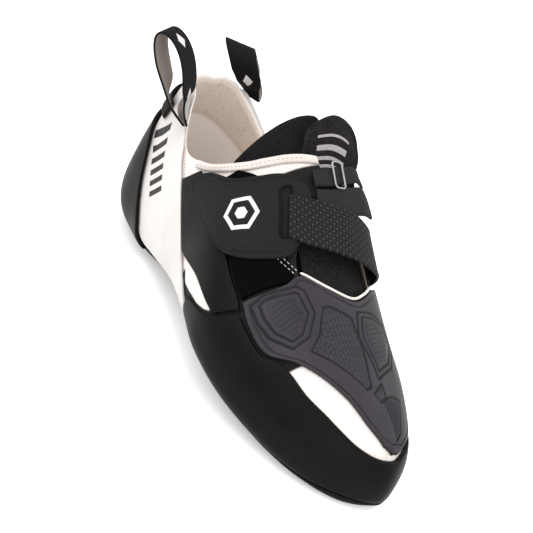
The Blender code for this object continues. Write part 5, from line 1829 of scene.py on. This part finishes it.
    def _wire(self, last: Last) -> None:
        """The wire ring round the two bands: a rectangle with quarter-circle corners."""
        depth = LAYERS.pad_outer
        middle = last.place(Map.ACROSS, 0.4895, 1.0, depth - self.wire_diameter / 2 - LAYERS.glue)
        along = unit(last.place(Map.ACROSS, 0.510, 1.0, depth) - last.place(Map.ACROSS, 0.469, 1.0, depth))
        side = np.array([0.0, 1.0, 0.0])
        length, width, corner = self.ring_half_length, self.ring_half_width, self.ring_corner
        angle = np.linspace(0, math.pi / 2, 7)
        path = []
        for quarter, (sx, sy) in enumerate(((1, 1), (-1, 1), (-1, -1), (1, -1))):
            a = (angle + quarter * math.pi / 2)[:, None]
            path.append(middle + along * (sx * (length - corner) + corner * np.cos(a))
                        + side * (sy * (width - corner) + corner * np.sin(a)))
        path = np.concatenate(path)
        up = np.broadcast_to(np.cross(along, side), path.shape)
        ring = Cord("wire_ring", self.wire_diameter, STEEL_WIRE, "steel_wire", ("wire_ring",), closed=True)
        ring.build(path, up)


@dataclass
class Threads:
    """The stitch rows that show on the outside."""

    binding: Rows = field(default_factory=lambda: [
        (0.300, 0.460), (0.338, 0.482), (0.376, 0.532), (0.406, 0.600), (0.424, 0.676), (0.437, 0.762),
        (0.447, 0.850)])
    patch: Rows = field(default_factory=lambda: [
        (0.603, 0.530), (0.615, 0.550), (0.628, 0.575), (0.640, 0.600)])
    heel_seam: Rows = field(default_factory=lambda: [
        (-0.206, 0.540), (-0.220, 0.500), (-0.243, 0.430), (-0.275, 0.340)])

    def build(self, last: Last) -> None:
        """Build every row."""
        top = LAYERS.rand_outer - 0.00008
        Stitching("binding_stitches", Map.ACROSS, self.binding, top - 0.0002, TAN_THREAD, "binding_knit",
                  pitch_mm=2.2, stitch_mm=0.9, thread_mm=0.40).build(last)
        Stitching("patch_stitches", Map.ACROSS, self.patch, top, WHITE_THREAD, "loop_pile", pitch_mm=2.4,
                  stitch_mm=1.6, thread_mm=0.38, offsets_mm=(-1.1, 1.1)).build(last)
        Stitching("heel_seam_stitches", Map.AROUND, self.heel_seam, LAYERS.upper_outer - 0.0001, TAN_THREAD,
                  "upper_knit", pitch_mm=1.9, stitch_mm=0.8, thread_mm=0.36).build(last)


def set_up(item: bpy.types.Object, right: np.ndarray, up: np.ndarray, back: np.ndarray,
           place: np.ndarray) -> None:
    """Link an object to the scene and place it by its three axes and its origin."""
    bpy.context.scene.collection.objects.link(item)
    matrix = np.eye(4)
    matrix[:3] = np.stack([right, up, back, place], 1)
    item.matrix_world = Matrix(matrix.tolist())


@dataclass
class Studio:
    """Floor, lights and the camera at the photograph's angle."""

    azimuth: float = 47.60
    elevation: float = 24.96
    roll: float = 28.09
    distance: float = 0.900
    focal_mm: float = 122.9
    sensor_mm: float = 36.0
    aim: tuple = (0.12407, 0.0, 0.04228)
    aim_right: float = -0.00318
    aim_up: float = 0.00515
    # Name, place, size and power of each light.
    lights: tuple = (("key", (-0.4, -1.0, 1.6), 1.8, 26.0), ("fill", (1.5, -0.4, 0.9), 1.4, 12.0),
                     ("rim", (0.2, 1.3, 1.2), 1.2, 12.0))
    sky_colour: tuple = (1.0, 0.995, 0.99, 1.0)
    sky_power: float = 0.75

    def axes(self) -> tuple[np.ndarray, np.ndarray, np.ndarray]:
        """Right, up and back of the picture, after its roll."""
        a, e, r = np.radians([self.azimuth, self.elevation, self.roll])
        back = np.array([math.sin(a) * math.cos(e), -math.cos(a) * math.cos(e), math.sin(e)])
        level = np.array([math.cos(a), math.sin(a), 0.0])
        over = np.cross(back, level)
        right = math.cos(r) * level + math.sin(r) * over
        up = -math.sin(r) * level + math.cos(r) * over
        return right, up, back

    def camera(self, shift: np.ndarray) -> None:
        """Place the camera so that the shoe sits in the frame as in the photograph."""
        right, up, back = self.axes()
        aim = np.array(self.aim) + shift + right * self.aim_right + up * self.aim_up
        data = bpy.data.cameras.new("camera")
        data.lens = self.focal_mm
        data.sensor_width = self.sensor_mm
        data.clip_start = 0.01
        item = bpy.data.objects.new("camera", data)
        set_up(item, right, up, back, aim + back * self.distance)
        bpy.context.scene.camera = item

    def floor(self) -> None:
        """A plain pale floor, 6 m across."""
        points = np.array([(-3, -3, 0), (3, -3, 0), (3, 3, 0), (-3, 3, 0)], dtype=float)
        look = Finish("floor_paper", (0.90, 0.90, 0.90), (0.88, 0.88, 0.88), 0.9, 0.0, 0.0, specular=0.1,
                      glow=0.45).build()
        item = add_mesh("floor", points, np.array([[0, 1, 2, 3]]), [look], {})

    def light(self, name: str, place: tuple, size: float, power: float) -> None:
        """A square area light that faces the shoe."""
        data = bpy.data.lights.new(name, "AREA")
        data.size = size
        data.energy = power
        item = bpy.data.objects.new(name, data)
        back = unit(np.array(place))
        right = unit(np.cross(np.array([0.0, 0.0, 1.0]), back))
        set_up(item, right, np.cross(back, right), back, np.array(place))

    def build(self, shift: np.ndarray) -> None:
        """Set up the whole studio."""
        self.camera(shift)
        self.floor()
        world = bpy.data.worlds.new("studio")
        world.use_nodes = True
        background = world.node_tree.nodes["Background"]
        background.inputs[0].default_value = self.sky_colour
        background.inputs[1].default_value = self.sky_power
        bpy.context.scene.world = world
        for light in self.lights:
            self.light(*light)
        bpy.context.scene.view_settings.view_transform = "Standard"


def main() -> None:
    """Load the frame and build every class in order."""
    logging.basicConfig(level=logging.INFO, format="%(name)s %(message)s")
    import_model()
    last = Last()
    low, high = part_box("rand")
    last.settle(np.array(low), np.array(high))
    LOG.info("last shifted by %s", last.shift)
    Studio().build(last.shift)
    Base().build(last)
    Rands().build(last)
    Sides().build(last)
    Closure().build(last)
    Threads().build(last)
    PullLoop("pull_loop_lateral", -0.168, 0.600, (-0.62, -0.22, 0.80), 38.0).build(last)
    PullLoop("pull_loop_medial", 0.074, 0.692, (-0.24, -0.34, 0.54), -27.0).build(last)


if __name__ == "__main__":
    main()
